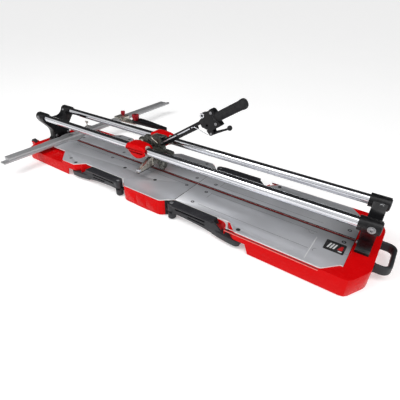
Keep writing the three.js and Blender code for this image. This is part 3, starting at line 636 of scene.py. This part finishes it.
def end_handle():
    """The carrying loop: an oval section swept round three sides."""
    low, high = span("end_handle")
    centre = middle("end_handle")
    bend = 20
    half = high.y - 5.5
    reach = high.x - 5.5
    path = [Vector((low.x - 0.2, -half, centre.z))]
    path += [Vector((reach - bend + bend * math.sin(a), -half + bend - bend * math.cos(a), centre.z))
             for a in [math.pi / 2 * i / 8 for i in range(9)]]
    path += [Vector((p.x, -p.y, p.z)) for p in reversed(path)]
    rings = []
    for i, point in enumerate(path):
        ahead = path[min(i + 1, len(path) - 1)] - path[max(i - 1, 0)]
        if i in (0, len(path) - 1):
            ahead = X if i == 0 else -X
        across = ahead.normalized().cross(Z)
        rings.append([point + across * a + Z * b for a, b in rounded_box_ring(5.5, 14.5, 4.5, 5)])
    bm = bmesh.new()
    loft(bm, rings)
    piece("carrying_handle", bm, PLASTIC, "base", ["end_handle"])
    bm = bmesh.new()
    for y in (-half, half):
        matrix = along((low.x - 0.4, y, centre.z), X)
        rings = [[matrix @ Vector((b, a, h)) for a, b in rounded_box_ring(8 - g, 17 - g, 5)]
                 for h, g in ((0, 0), (2.2, 0), (3.2, 1))]
        loft(bm, rings)
    piece("carrying_handle_flanges", bm, PLASTIC, "base")


def transport_rollers():
    for end, _ in SIDES:
        low, high = span(f"{end}_roller")
        centre = middle(f"{end}_roller")
        width = high.y - low.y
        outer = (high.x - low.x) / 2
        profile = [(4.4, 0), (outer - 5, 0), (outer - 4, 0.8), (outer - 2.5, 0.8), (outer - 0.8, 1.2)]
        profile += [(outer, 2.4)]
        for k in range(3):
            start = 4.2 + 4 * k
            profile += [(outer, start), (outer - 1, start + 0.5)]
            profile += [(outer - 1, start + 1.2), (outer, start + 1.7)]
        profile += [(outer, width - 2.4), (outer - 0.8, width - 1.2), (outer - 2.5, width - 0.8)]
        profile += [(outer - 4, width - 0.8), (outer - 5, width), (4.4, width)]
        bm = bmesh.new()
        matrix = along((centre.x, low.y, centre.z), Y)
        loft(bm, [[matrix @ p for p in circle(r, h, 64)] for r, h in profile], closed=True)
        piece(f"{end}_roller_tyre", bm, RUBBER, f"roller_{end}", [f"{end}_roller"])


# ---------------------------------------------------------------- table details
def arc(bm, x, y, radius, start, z0, z1):
    """A thin printed arc on a plate, a third of a ring."""
    outer, inner = [], []
    for k in range(13):
        angle = math.radians(start + 10 * k)
        outer.append((x + radius * math.cos(angle), y + radius * math.sin(angle)))
        inner.append((x + (radius - 1) * math.cos(angle), y + (radius - 1) * math.sin(angle)))
    plate_ring(bm, outer + inner[::-1], z0, z1)


def printed_marks():
    """Thin printed lines on the plates, and the plain label at the right end."""
    top = span("front_right_plate")[1].z
    base = top - 0.1
    height = top + 0.12
    bm = bmesh.new()
    for y0, y1 in ((-29.4, -28.2), (-112.6, -111.6)):
        strip(bm, 210, 590, y0, y1, base, height)
    strip(bm, 210, 211.2, -60, -29, base, height)
    for x, y, start in ((560, -40, 20), (612, -110, 100), (686, -70, 200), (576, -34, 200)):
        arc(bm, x, y, 9, start, base, height)
    piece("front_right_plate_lines", bm, GREY_INK, "plate_front_right")
    bm = bmesh.new()
    strip(bm, 595, 596.6, -158, -50, base, height)
    piece("front_right_plate_scale_line", bm, WHITE_INK_AND_HIGHLIGHT, "plate_front_right")
    bm = bmesh.new()
    strip(bm, 210, 590, 28.2, 29.4, base, height)
    strip(bm, 210, 211.2, 29, 60, base, height)
    piece("rear_right_plate_lines", bm, GREY_INK, "plate_rear_right")
    bm = bmesh.new()
    strip(bm, -560, 100, -29.4, -28.2, base, height)
    piece("front_left_plate_lines", bm, GREY_INK, "plate_front_left")

    bm = bmesh.new()
    centre = Vector((651.5, -64.5))
    ring = [(centre.x + a, centre.y + b) for a, b in rounded_box_ring(28, 23.5, 3)]
    plate_ring(bm, ring, base, top + 0.25)
    piece("plate_label", bm, BLACK_INK_AND_SHADE, "plate_front_right")
    bm = bmesh.new()
    for k in range(3):
        x = centre.x - 20 + 8 * k
        plate_ring(bm, [(x, centre.y - 12), (x + 4.5, centre.y - 12), (x + 10, centre.y + 12),
                        (x + 5.5, centre.y + 12)], top + 0.2, top + 0.4)
    strip(bm, centre.x + 12, centre.x + 22, centre.y - 16, centre.y - 12, top + 0.2, top + 0.4)
    piece("plate_label_bars", bm, WHITE_INK_AND_HIGHLIGHT, "plate_front_right")
    bm = bmesh.new()
    corners = ((8, -8), (22, -8), (22, 12), (16, 12))
    plate_ring(bm, [(centre.x + a, centre.y + b) for a, b in corners], top + 0.2, top + 0.4)
    piece("plate_label_accent", bm, RED_INK, "plate_front_right")


def plate_seam_shade_and_hole_discs():
    """Painted shade: black strips where the plates meet each other and the breaking bar, and black discs in
    the holes.
    """
    hole_discs = {"front_left": [(-187, -69), (-20, -73), (-390, -155)], "front_right": [(390, -155)],
             "rear_left": [(-390, 155)], "rear_right": [(390, 155)]}
    for row, y in SIDES:
        for side in ("left", "right"):
            low, high = span(f"{row}_{side}_plate")
            near = on_side(y, 3.3, 7)
            base, top = high.z - 0.2, high.z + 0.12
            bm = bmesh.new()
            # painted shade along the gap beside the breaking bar
            strip(bm, low.x + 1, high.x - 1, *near, base, top)
            if side == "left":
                # painted shade along the seam between the left and right plates
                strip(bm, high.x - 2.6, high.x - 0.4, *on_side(y, 7, 136), base, top)
            for a, b in hole_discs[f"{row}_{side}"]:
                matrix = along((a, b, base), Z)
                loft(bm, [[matrix @ p for p in circle(r, h)] for r, h in ((7, 0), (7, 0.25), (6.4, 0.34))])
            piece(f"{row}_{side}_plate_edges", bm, BLACK_INK_AND_SHADE, f"plate_{row}_{side}")


def housing_panels():
    """Shallow raised panels moulded on the outer walls of the middle housing."""
    wall = span("middle_housing")[1].y
    centre_z, half_height = 30, 21
    for end, y in SIDES:
        face = y * wall
        bm = bmesh.new()
        for x, half_width in ((-50, 24), (0, 22), (50, 24)):
            outer = rounded_box_ring(half_width, half_height, 4)
            inner = rounded_box_ring(half_width - 1, half_height - 1, 3.4)
            loft(bm, [[Vector((x + p, face + y * out, centre_z + q)) for p, q in ring]
                      for ring, out in ((outer, -1.5), (outer, 0.1), (inner, 0.8))])
        piece(f"{end}_middle_housing_panels", bm, RED, "base", edge=0.3)


def ribbon(bm, path, thickness, z0, z1):
    """An upright wall along a plan path, thickened to its left."""
    left = []
    for i, point in enumerate(path):
        ahead = (path[min(i + 1, len(path) - 1)] - path[max(i - 1, 0)]).normalized()
        left.append(point + Vector((-ahead.y, ahead.x)) * thickness)
    plate_ring(bm, list(path) + left[::-1], z0, z1)


def housing_shoulders():
    """The curved red walls beyond the free ends of the side arms, low enough for a pressed plate."""
    plan = [(296, 136.5), (318, 136.8), (330, 140), (339, 147), (343.5, 156), (345, 165)]
    thickness, bottom, top = 2.5, 8, 56
    for side, s in (("left", -1), ("right", 1)):
        for row, y in SIDES:
            path = [Vector((s * a, y * b)) for a, b in plan]
            bm = bmesh.new()
            ribbon(bm, path, -s * y * thickness, bottom, top)
            piece(f"{row}_{side}_shoulder_wall", bm, RED, "base", edge=0.5)


RIM_X = (352, 640)      # from the shoulder of the right housing to the plates' cut-off corners


def painted_edge_strips():
    """A painted highlight: a white strip along the outer edge of the right plates, standing in for their lit
    edge.
    """
    for row, y in SIDES:
        low, high = span(f"{row}_right_plate")
        edge = high.y if y > 0 else -low.y
        bm = bmesh.new()
        strip(bm, *RIM_X, *on_side(y, edge - 2.1, edge - 0.7), high.z - 0.6, high.z + 0.2)
        piece(f"{row}_right_painted_edge_strip", bm, WHITE_INK_AND_HIGHLIGHT, f"plate_{row}_right")


def housing_rim_shade_and_highlight():
    """Painted shade and a painted highlight along the top of the right housing's long walls: a dark red
    strip for the shaded gap under the plate edge, and a raised lip coloured pale red as its highlight.
    """
    wall = span("right_housing")[1].y
    shade_z, highlight_lip_z = (57.2, 60.4), (54.2, 57)
    for row, y in SIDES:
        bm = bmesh.new()
        strip(bm, *RIM_X, *on_side(y, wall - 0.6, wall + 0.25), *shade_z)
        piece(f"{row}_right_housing_painted_shade", bm, PAINTED_SHADE_RED, "base")
        bm = bmesh.new()
        strip(bm, *RIM_X, *on_side(y, wall - 0.6, wall + 1.1), *highlight_lip_z)
        piece(f"{row}_right_housing_painted_highlight", bm, PAINTED_HIGHLIGHT_RED, "base", edge=0.5)


def arm_details():
    """Ribs across the top of each side arm, and the screw over its pivot."""
    first_rib, spacing, width = 158, 6, 2.6
    rib_y = (141.5, 164)
    for row, y in SIDES:
        for side, s in (("left", -1), ("right", 1)):
            top = span(f"{row}_{side}_arm")[1].z
            pin = middle(f"{row}_{side}_arm_pin")
            body = f"arm_{row}_{side}"
            bm = bmesh.new()
            for k in range(24):
                x = first_rib + spacing * k
                strip(bm, *on_side(s, x, x + width), *on_side(y, *rib_y), top - 0.6, top + 0.9)
            piece(f"{row}_{side}_arm_ribs", bm, PLASTIC, body, edge=0.3)
            bm = bmesh.new()
            socket_screw(bm, (pin.x, pin.y, top - 0.2), Z, 6.5, 2.6, 5, ring=1.8)
            piece(f"{row}_{side}_arm_screw", bm, ZINC, body)


# ---------------------------------------------------------------- fence and stop
def fence_details():
    """The printed scale along the fence, and the head of its pivot bolt."""
    top = span("fence_bar")[1].z
    scale_x, first_y, spacing = -617, -320, 15
    bm = bmesh.new()
    for k in range(66):
        y = first_y + spacing * k
        length = 9 if k % 4 == 0 else 5
        strip(bm, scale_x - length, scale_x, y - 0.35, y + 0.35, top - 0.1, top + 0.1)
    piece("fence_scale", bm, GREY_INK, "fence")
    centre = middle("fence_pivot_bolt")
    bm = bmesh.new()
    socket_screw(bm, (centre.x, centre.y, span("fence_pivot_bolt")[1].z), Z, 9.5, 2, 7)
    piece("fence_pivot_cap", bm, ZINC, "base")


def lobed_knob(bm, centre, base, profile, lobes, depth):
    """A hand knob: [radius, height, share of the lobes' depth] rows stacked on one axis."""
    rings = []
    for radius, height, share in profile:
        ring = lobed(radius, base + height, lobes, depth * share)
        rings.append([Vector((centre.x, centre.y, 0)) + p for p in ring])
    loft(bm, rings)


def stop_arm_handwheel():
    """The knob with seven lobes that clamps the stop arm, and its cap."""
    low, high = span("stop_arm_knob")
    centre = middle("stop_arm_knob")
    base = span("stop_arm")[1].z + 0.3
    height = high.z - base
    bm = bmesh.new()
    rows = [(11, 0, 0), (12.5, 2, 0), (13, 8, 0), (16.5, 10.5, 0.5), (17.6, 13, 1)]
    rows += [(18, height - 7, 1), (17.2, height - 3, 0.9), (14.5, height - 0.8, 0.6)]
    rows += [(11.5, height, 0.2), (10.5, height - 0.9, 0), (3, height - 1, 0)]
    lobed_knob(bm, centre, base, rows, 7, 1.7)
    lathe(bm, [(5, low.z - base), (5, 0.5)], along((centre.x, centre.y, base), Z))
    piece("stop_arm_handwheel", bm, KNOB, "stop_clamp", ["stop_arm_knob"])
    bm = bmesh.new()
    cap = [(0, 0), (8.5, 0), (8.5, 0.8), (7.8, 1.2), (0, 1.2)]
    lathe(bm, cap, along((centre.x, centre.y, base + height - 1), Z))
    piece("stop_arm_knob_cap", bm, PLASTIC, "stop_clamp")


def stop_lock_handwheel():
    """The smaller knob, with four lobes, that locks the stop on the fence."""
    lock = middle("stop_lock_knob")
    base = span("stop_bracket")[1].z + 0.3
    height = span("stop_lock_knob")[1].z - base
    bm = bmesh.new()
    rows = [(7, 0, 0), (8, 1, 0), (8, 6.5, 0), (9.5, 8, 0.5), (11.2, 9.5, 1), (11.5, height - 3, 1)]
    rows += [(10.8, height - 1, 0.9), (9, height, 0.7), (3, height + 0.2, 0)]
    lobed_knob(bm, lock, base, rows, 4, 3.2)
    lathe(bm, [(3, -5), (3, 0.5)], along((lock.x, lock.y, base), Z))
    piece("stop_lock_handwheel", bm, KNOB, "stop_lock", ["stop_lock_knob"])


def stop_arm_details():
    """Two rows of short ribs along the stop arm, and the screws of its bracket."""
    top = span("stop_arm")[1].z
    first_x, spacing, length = -478, 34, 24
    bm = bmesh.new()
    for k in range(4):
        x = first_x + spacing * k
        strip(bm, x, x + length, 329 - 2 * k, 333 - 2 * k, top - 0.5, top + 1)
        strip(bm, x, x + length, 345 - 4 * k, 348 - 4 * k, top - 0.5, top + 1)
    piece("stop_arm_ribs", bm, PLASTIC, "stop_finger", edge=0.5)
    bracket_top = span("stop_bracket")[1].z
    bm = bmesh.new()
    for x in (-646, -612):
        socket_screw(bm, (x, 308, bracket_top - 0.2), Z, 4, 2.2, 3.4)
    piece("stop_bracket_screws", bm, ZINC, "stop")


# ---------------------------------------------------------------- carriage
def smooth_ring(points, per_point=6):
    """A closed Catmull-Rom curve through [a, b] points."""
    ring = []
    count = len(points)
    for i in range(count):
        p = [Vector(points[(i + k) % count]) for k in (-1, 0, 1, 2)]
        for step in range(per_point):
            t = step / per_point
            square = (2 * p[0] - 5 * p[1] + 4 * p[2] - p[3]) * t * t
            cube = (3 * p[1] - p[0] - 3 * p[2] + p[3]) * t ** 3
            ring.append(0.5 * ((2 * p[1]) + (p[2] - p[0]) * t + square + cube))
    return ring


def inset_ring(ring, depth):
    """Moves every point of a counter-clockwise ring inwards."""
    count = len(ring)
    moved = []
    for i, point in enumerate(ring):
        tangent = (ring[(i + 1) % count] - ring[i - 1]).normalized()
        moved.append(point + Vector((-tangent.y, tangent.x)) * depth)
    return moved


def pod(bm, outline, y0, y1, round_off, steps=5):
    """A side outline stretched from y0 to y1 with its edges rounded off."""
    ring = smooth_ring(outline)
    area = sum(a.x * b.y - b.x * a.y for a, b in zip(ring, ring[1:] + ring[:1]))
    if area < 0:
        ring.reverse()
    near, far = [], []
    for k in range(steps + 1):
        angle = math.pi / 2 * k / steps
        inset = inset_ring(ring, round_off * (1 - math.sin(angle)))
        depth = round_off * (1 - math.cos(angle))
        near.append([Vector((p.x, y0 + depth, p.y)) for p in inset])
        far.append([Vector((p.x, y1 - depth, p.y)) for p in inset])
    loft(bm, near + far[::-1])


def rod_bore(rod):
    """The round way that a rod needs through a slider cover."""
    bm = bmesh.new()
    lathe(bm, [(20.3, -160), (20.3, -30)], along((0, rod.y, rod.z), X), 64)
    return bm


def slider_covers():
    """Red pods over the rod bushes, each an upper shell and a narrower skirt that runs up into it."""
    for end, _ in SIDES:
        node = f"{end}_slider_cover"
        low, high = span(node)
        upper = [(-145, 170), (-142, 182), (-130, 193), (-98, 196), (-62, 193), (-47, 183), (-46, 173),
                 (-62, 165), (-104, 161.5), (-128, 164)]
        lower = [(-130, 168), (-104, 168), (-64, 170), (-49, 172), (-47, 162), (-58, 152), (-74, 144.5),
                 (-88, 140.5), (-104, 144), (-119, 153)]
        rod = middle(f"{end}_rod")
        bm = bmesh.new()
        pod(bm, upper, low.y, high.y, 9)
        piece(f"{end}_cover_shell", bm, RED, "carriage", [node], bore=rod_bore(rod))
        bm = bmesh.new()
        pod(bm, lower, low.y + 1.5, high.y - 1.5, 6)
        piece(f"{end}_cover_skirt", bm, RED, "carriage", bore=rod_bore(rod))


def pivot_cap():
    """The knurled knob on the lever's pivot."""
    low, high = span("pivot_knob")
    centre = middle("pivot_knob")
    bm = bmesh.new()
    matrix = along((centre.x, high.y, centre.z), -Y)
    length = high.y - low.y
    rings = [lobed(10.2, 0, 28, 0), lobed(10.6, 0.8, 28, 0.35), lobed(10.6, length - 2.5, 28, 0.35)]
    rings += [lobed(9.8, length - 0.8, 28, 0), lobed(8, length, 28, 0), lobed(5, length + 0.4, 28, 0)]
    rings += [lobed(4.4, length - 1.2, 28, 0), lobed(1, length - 1.6, 28, 0)]
    loft(bm, [[matrix @ p for p in ring] for ring in rings])
    piece("pivot_handwheel", bm, NICKEL, "pivot_cap", ["pivot_knob"])


def foot_details():
    """Round caps at the tips of the breaker foot, and its fixing screws."""
    bm = bmesh.new()
    centre = middle("breaker_foot")
    tip_y, tip_z = 92, span("breaker_foot")[0].z + 6.5
    for _, y in SIDES:
        profile = [(0, -7.4), (5.4, -7.4), (6.6, -6.4), (7.2, 0), (6.6, 6.4), (5.4, 7.4), (0, 7.4)]
        lathe(bm, profile, along((centre.x, y * tip_y, tip_z), X), 32)
    piece("foot_tip_caps", bm, CHROME, "foot")
    bm = bmesh.new()
    screw_z = 118
    for y in (-13, 13):
        socket_screw(bm, (centre.x + 11, y, screw_z), X, 4.4, 3, 4)
    piece("foot_screws", bm, ZINC, "foot")


def bridge_details():
    """Screws in the top of the carriage bridge, and the cast block beside the lever."""
    screw_z = 160.8
    bm = bmesh.new()
    for y in (-31, 31):
        for x in (-142, -78):
            socket_screw(bm, (x, y, screw_z), Z, 5, 3.6, 4.6, ring=1.4)
    socket_screw(bm, (-71, -6, screw_z), Z, 4, 3.4, 3.6)
    piece("bridge_screws", bm, ZINC, "carriage")
    bm = bmesh.new()
    pod(bm, [(-104, 162), (-104, 186), (-92, 194), (-74, 190), (-66, 176), (-70, 162)], 24, 37, 3)
    piece("bridge_block", bm, CAST, "carriage")


def hood_strip():
    """The bent steel strip that leads the release rod over the hood of the lever casting."""
    path = [(-74, 17, 210.5), (-75, 6, 211.4), (-75, -8, 211.4), (-74, -18, 209.5), (-69, -21.8, 205.5),
            (-57, -22, 198.5), (-47, -20.5, 192), (-40, -17, 188), (-36, -12, 187.6)]
    bm = bmesh.new()
    tube(bm, [Vector(p) for p in path], 1.7, 16)
    piece("hood_strip", bm, NICKEL, "lever")


# ---------------------------------------------------------------- handle
TILT = math.radians(32.5)
HANDLE_ROOT = Vector((-59, 0, 180))
ALONG = Vector((math.cos(TILT), 0, math.sin(TILT)))
ABOVE = Vector((-math.sin(TILT), 0, math.cos(TILT)))


def on_handle(along_it, above, y=0.0):
    return HANDLE_ROOT + ALONG * along_it + ABOVE * above + Y * y


def handle_grip():
    """A ribbed rubber sleeve with a flange at its root and a swollen end."""
    rows = [(8.3, 0), (15.8, 0), (16.6, 1), (16.6, 3.4), (15, 5), (14.4, 7)]
    rows += [(14.5 + (0.5 if k % 2 else 0), 9 + 3 * k) for k in range(26)]
    rows += [(14.8, 89), (16, 94), (16.6, 99), (16.6, 103), (15.8, 107), (13.5, 110), (9, 111.5), (0.3, 112)]
    matrix = along(on_handle(309.4, -12), ALONG)
    rings = []
    for radius, height in rows:
        depth = 0.35 if 8 < height < 88 else 0
        rings.append([matrix @ p for p in lobed(radius, height, 16, depth)])
    bm = bmesh.new()
    loft(bm, rings)
    piece("handle_sleeve", bm, GRIP, "lever", ["handle_grip"])


def trigger():
    """The finger lever under the grip: a tapering bar with a ball end."""
    stations = [(247, -52, 4.2, 3.4), (256, -51, 5.4, 5.6), (262, -52, 5.6, 7), (272, -53.5, 5, 5.4),
                (288, -56, 4.2, 4.2), (306, -58, 3.8, 3.6), (322, -60, 3.6, 3.4)]
    rings = []
    for at, above, half_wide, half_tall in stations:
        ring = rounded_box_ring(half_wide, half_tall, 0.8 * min(half_wide, half_tall))
        rings.append([on_handle(at, above + b, a) for a, b in ring])
    bm = bmesh.new()
    loft(bm, rings)
    profile = [(8.5 * math.sin(math.pi * k / 12), 8.5 - 8.5 * math.cos(math.pi * k / 12)) for k in range(13)]
    lathe(bm, profile, along(on_handle(322.5, -60), ALONG), 32)
    piece("finger_lever", bm, PAINT, "release_trigger", ["trigger"])


def release_line():
    """The bright release rod beside the handle, and its thin cable down to the trigger."""
    bm = bmesh.new()
    tube(bm, [on_handle(24, -6, -11.5), on_handle(203, -6, -11.5)], 3, 24)
    route = [(203, -6, -11.5), (209, -8, -11.2), (215, -14, -10), (221, -23, -7.5), (228, -34, -4.5),
             (234, -43, -2), (239, -50, 0)]
    tube(bm, [on_handle(*p) for p in route], 1.2, 12)
    piece("release_rod_and_cable", bm, CHROME, "lever", ["release_cable"])
    bm = bmesh.new()
    profile = ((3.05, 0), (4.6, 0), (4.6, 5), (3.05, 5))
    for at in (40, 120, 192):
        matrix = along(on_handle(at, -6, -11.5), ALONG)
        loft(bm, [[matrix @ p for p in circle(r, h, 32)] for r, h in profile], closed=True)
    piece("release_rod_guides", bm, PAINT, "lever")


def head_eyelet():
    """The bright ring on the front of the handle head."""
    around, across = 40, 12
    radius, thickness = 6.4, 2
    centre = on_handle(260, 13, -11.4)
    rings = []
    for i in range(around):
        angle = 2 * math.pi * i / around
        out = ALONG * math.cos(angle) + ABOVE * math.sin(angle)
        turns = [2 * math.pi * k / across for k in range(across)]
        rings.append([centre + out * (radius + thickness * math.cos(turn)) + Y * thickness * math.sin(turn)
                      for turn in turns])
    bm = bmesh.new()
    loft(bm, rings, closed=True)
    piece("head_eyelet", bm, CHROME, "lever")


def head_screws():
    bm = bmesh.new()
    for y, direction in ((-11, -Y), (11, Y)):
        socket_screw(bm, on_handle(262, -51.5, y), direction, 4, 2.4, 3)
    for above in (8, -30):
        socket_screw(bm, on_handle(296, above, -11), -Y, 4.6, 2.6, 4)
    piece("head_screws", bm, ZINC, "lever")


def head_collar():
    """The collar where the grip meets the handle head."""
    bm = bmesh.new()
    profile = [(17.5, 0), (18.5, 1), (18.5, 7), (17.5, 8)]
    matrix = along(on_handle(300.5, -12), ALONG)
    loft(bm, [[matrix @ p for p in circle(r, h, 48)] for r, h in profile])
    piece("head_collar", bm, PAINT, "lever")


# ---------------------------------------------------------------- stage, light, camera
def stage():
    """A wide pale floor that glows a little, so that it stays white where the lamps do not reach."""
    mesh = bpy.data.meshes.new("floor")
    reach = 60
    corners = [(reach * a, reach * b, 0) for a, b in ((-1, -1), (1, -1), (1, 1), (-1, 1))]
    mesh.from_pydata(corners, [], [(0, 1, 2, 3)])
    f = Finish("floor", (0.86, 0.86, 0.86), 0.75, Emission_Strength=0.32)
    f.shader.inputs["Emission Color"].default_value = (1, 1, 1, 1)
    f.colour(f.mix(f.remap(f.noise(2), 0, 1), (0.87, 0.87, 0.87), (0.85, 0.85, 0.85)))
    mesh.materials.append(f.material)
    floor = bpy.data.objects.new("floor", mesh)
    bpy.context.scene.collection.objects.link(floor)


def world_blend(tree, value, start, stop):
    made = tree.nodes.new("ShaderNodeMapRange")
    made.interpolation_type = "SMOOTHSTEP"
    made.inputs["From Min"].default_value = start
    made.inputs["From Max"].default_value = stop
    tree.links.new(value, made.inputs["Value"])
    return made.outputs["Result"]


def world_mix(tree, factor, first, second):
    made = tree.nodes.new("ShaderNodeMix")
    tree.links.new(factor, made.inputs["Factor"])
    for socket, value in ((made.inputs[2], first), (made.inputs[3], second)):
        if isinstance(value, float):
            socket.default_value = value
        else:
            tree.links.new(value, socket)
    return made.outputs[0]


def studio_world():
    """A bright ceiling and walls, a dark field behind, and a dark line where floor and wall meet."""
    world = bpy.data.worlds.new("studio")
    bpy.context.scene.world = world
    world.use_nodes = True
    tree = world.node_tree
    direction = tree.nodes.new("ShaderNodeTexCoord").outputs["Generated"]
    split = tree.nodes.new("ShaderNodeSeparateXYZ")
    tree.links.new(direction, split.inputs["Vector"])
    height = split.outputs["Z"]
    toward_dark = tree.nodes.new("ShaderNodeVectorMath")
    toward_dark.operation = "DOT_PRODUCT"
    toward_dark.inputs[1].default_value = Vector((-0.45, 0.75, 0.45)).normalized()
    tree.links.new(direction, toward_dark.inputs[0])
    wall = world_mix(tree, world_blend(tree, height, 0.02, 0.14), 0.05, 0.82)
    bright = world_mix(tree, world_blend(tree, height, 0.74, 0.97), wall, 3.6)
    value = world_mix(tree, world_blend(tree, toward_dark.outputs["Value"], 0.28, 0.4), bright, 0.03)
    background = tree.nodes["Background"]
    tree.links.new(value, background.inputs["Color"])
    background.inputs["Strength"].default_value = 0.98


def lights():
    """The studio world, a key lamp on the left front and a weaker fill on the right."""
    studio_world()
    for name, place, size, power in (
        ("key", (-0.9, -1.8, 2.4), 1.2, 26),
        ("fill", (2.0, -0.6, 1.8), 1.2, 10),
    ):
        light = bpy.data.lights.new(name, "AREA")
        light.size = size
        light.energy = power
        lamp = bpy.data.objects.new(name, light)
        bpy.context.scene.collection.objects.link(lamp)
        lamp.location = place
        lamp.rotation_euler = (Vector((0, 0, 0.08)) - Vector(place)).to_track_quat("-Z", "Y").to_euler()


def camera():
    """A three-quarter view from the right front, looking down."""
    azimuth, pitch, roll = (math.radians(angle) for angle in (35.053, 33.115, 0.317))
    forward = Vector((-math.sin(azimuth) * math.cos(pitch), math.cos(azimuth) * math.cos(pitch),
                      -math.sin(pitch)))
    level_right = forward.cross(Z).normalized()
    level_up = level_right.cross(forward)
    right = level_right * math.cos(roll) + level_up * math.sin(roll)
    up = level_up * math.cos(roll) - level_right * math.sin(roll)
    data = bpy.data.cameras.new("camera")
    data.lens = 28.8
    data.sensor_width = 36
    data.clip_end = 200
    made = bpy.data.objects.new("camera", data)
    bpy.context.scene.collection.objects.link(made)
    turn = Matrix((right, up, -forward)).transposed().to_4x4()
    place = Vector((0.7331, -0.8464, 0.6682))
    made.matrix_world = Matrix.Translation(place) @ turn
    bpy.context.scene.camera = made
    bpy.context.scene.view_settings.view_transform = "Standard"


camera()
lights()
stage()
finish_nodes()
rods()
clamp_screws()
support_bolts()
plate_screws()
end_handle()
transport_rollers()
printed_marks()
plate_seam_shade_and_hole_discs()
housing_panels()
housing_shoulders()
painted_edge_strips()
housing_rim_shade_and_highlight()
arm_details()
fence_details()
stop_arm_handwheel()
stop_lock_handwheel()
stop_arm_details()
slider_covers()
pivot_cap()
foot_details()
bridge_details()
hood_strip()
handle_grip()
trigger()
release_line()
head_eyelet()
head_screws()
head_collar()
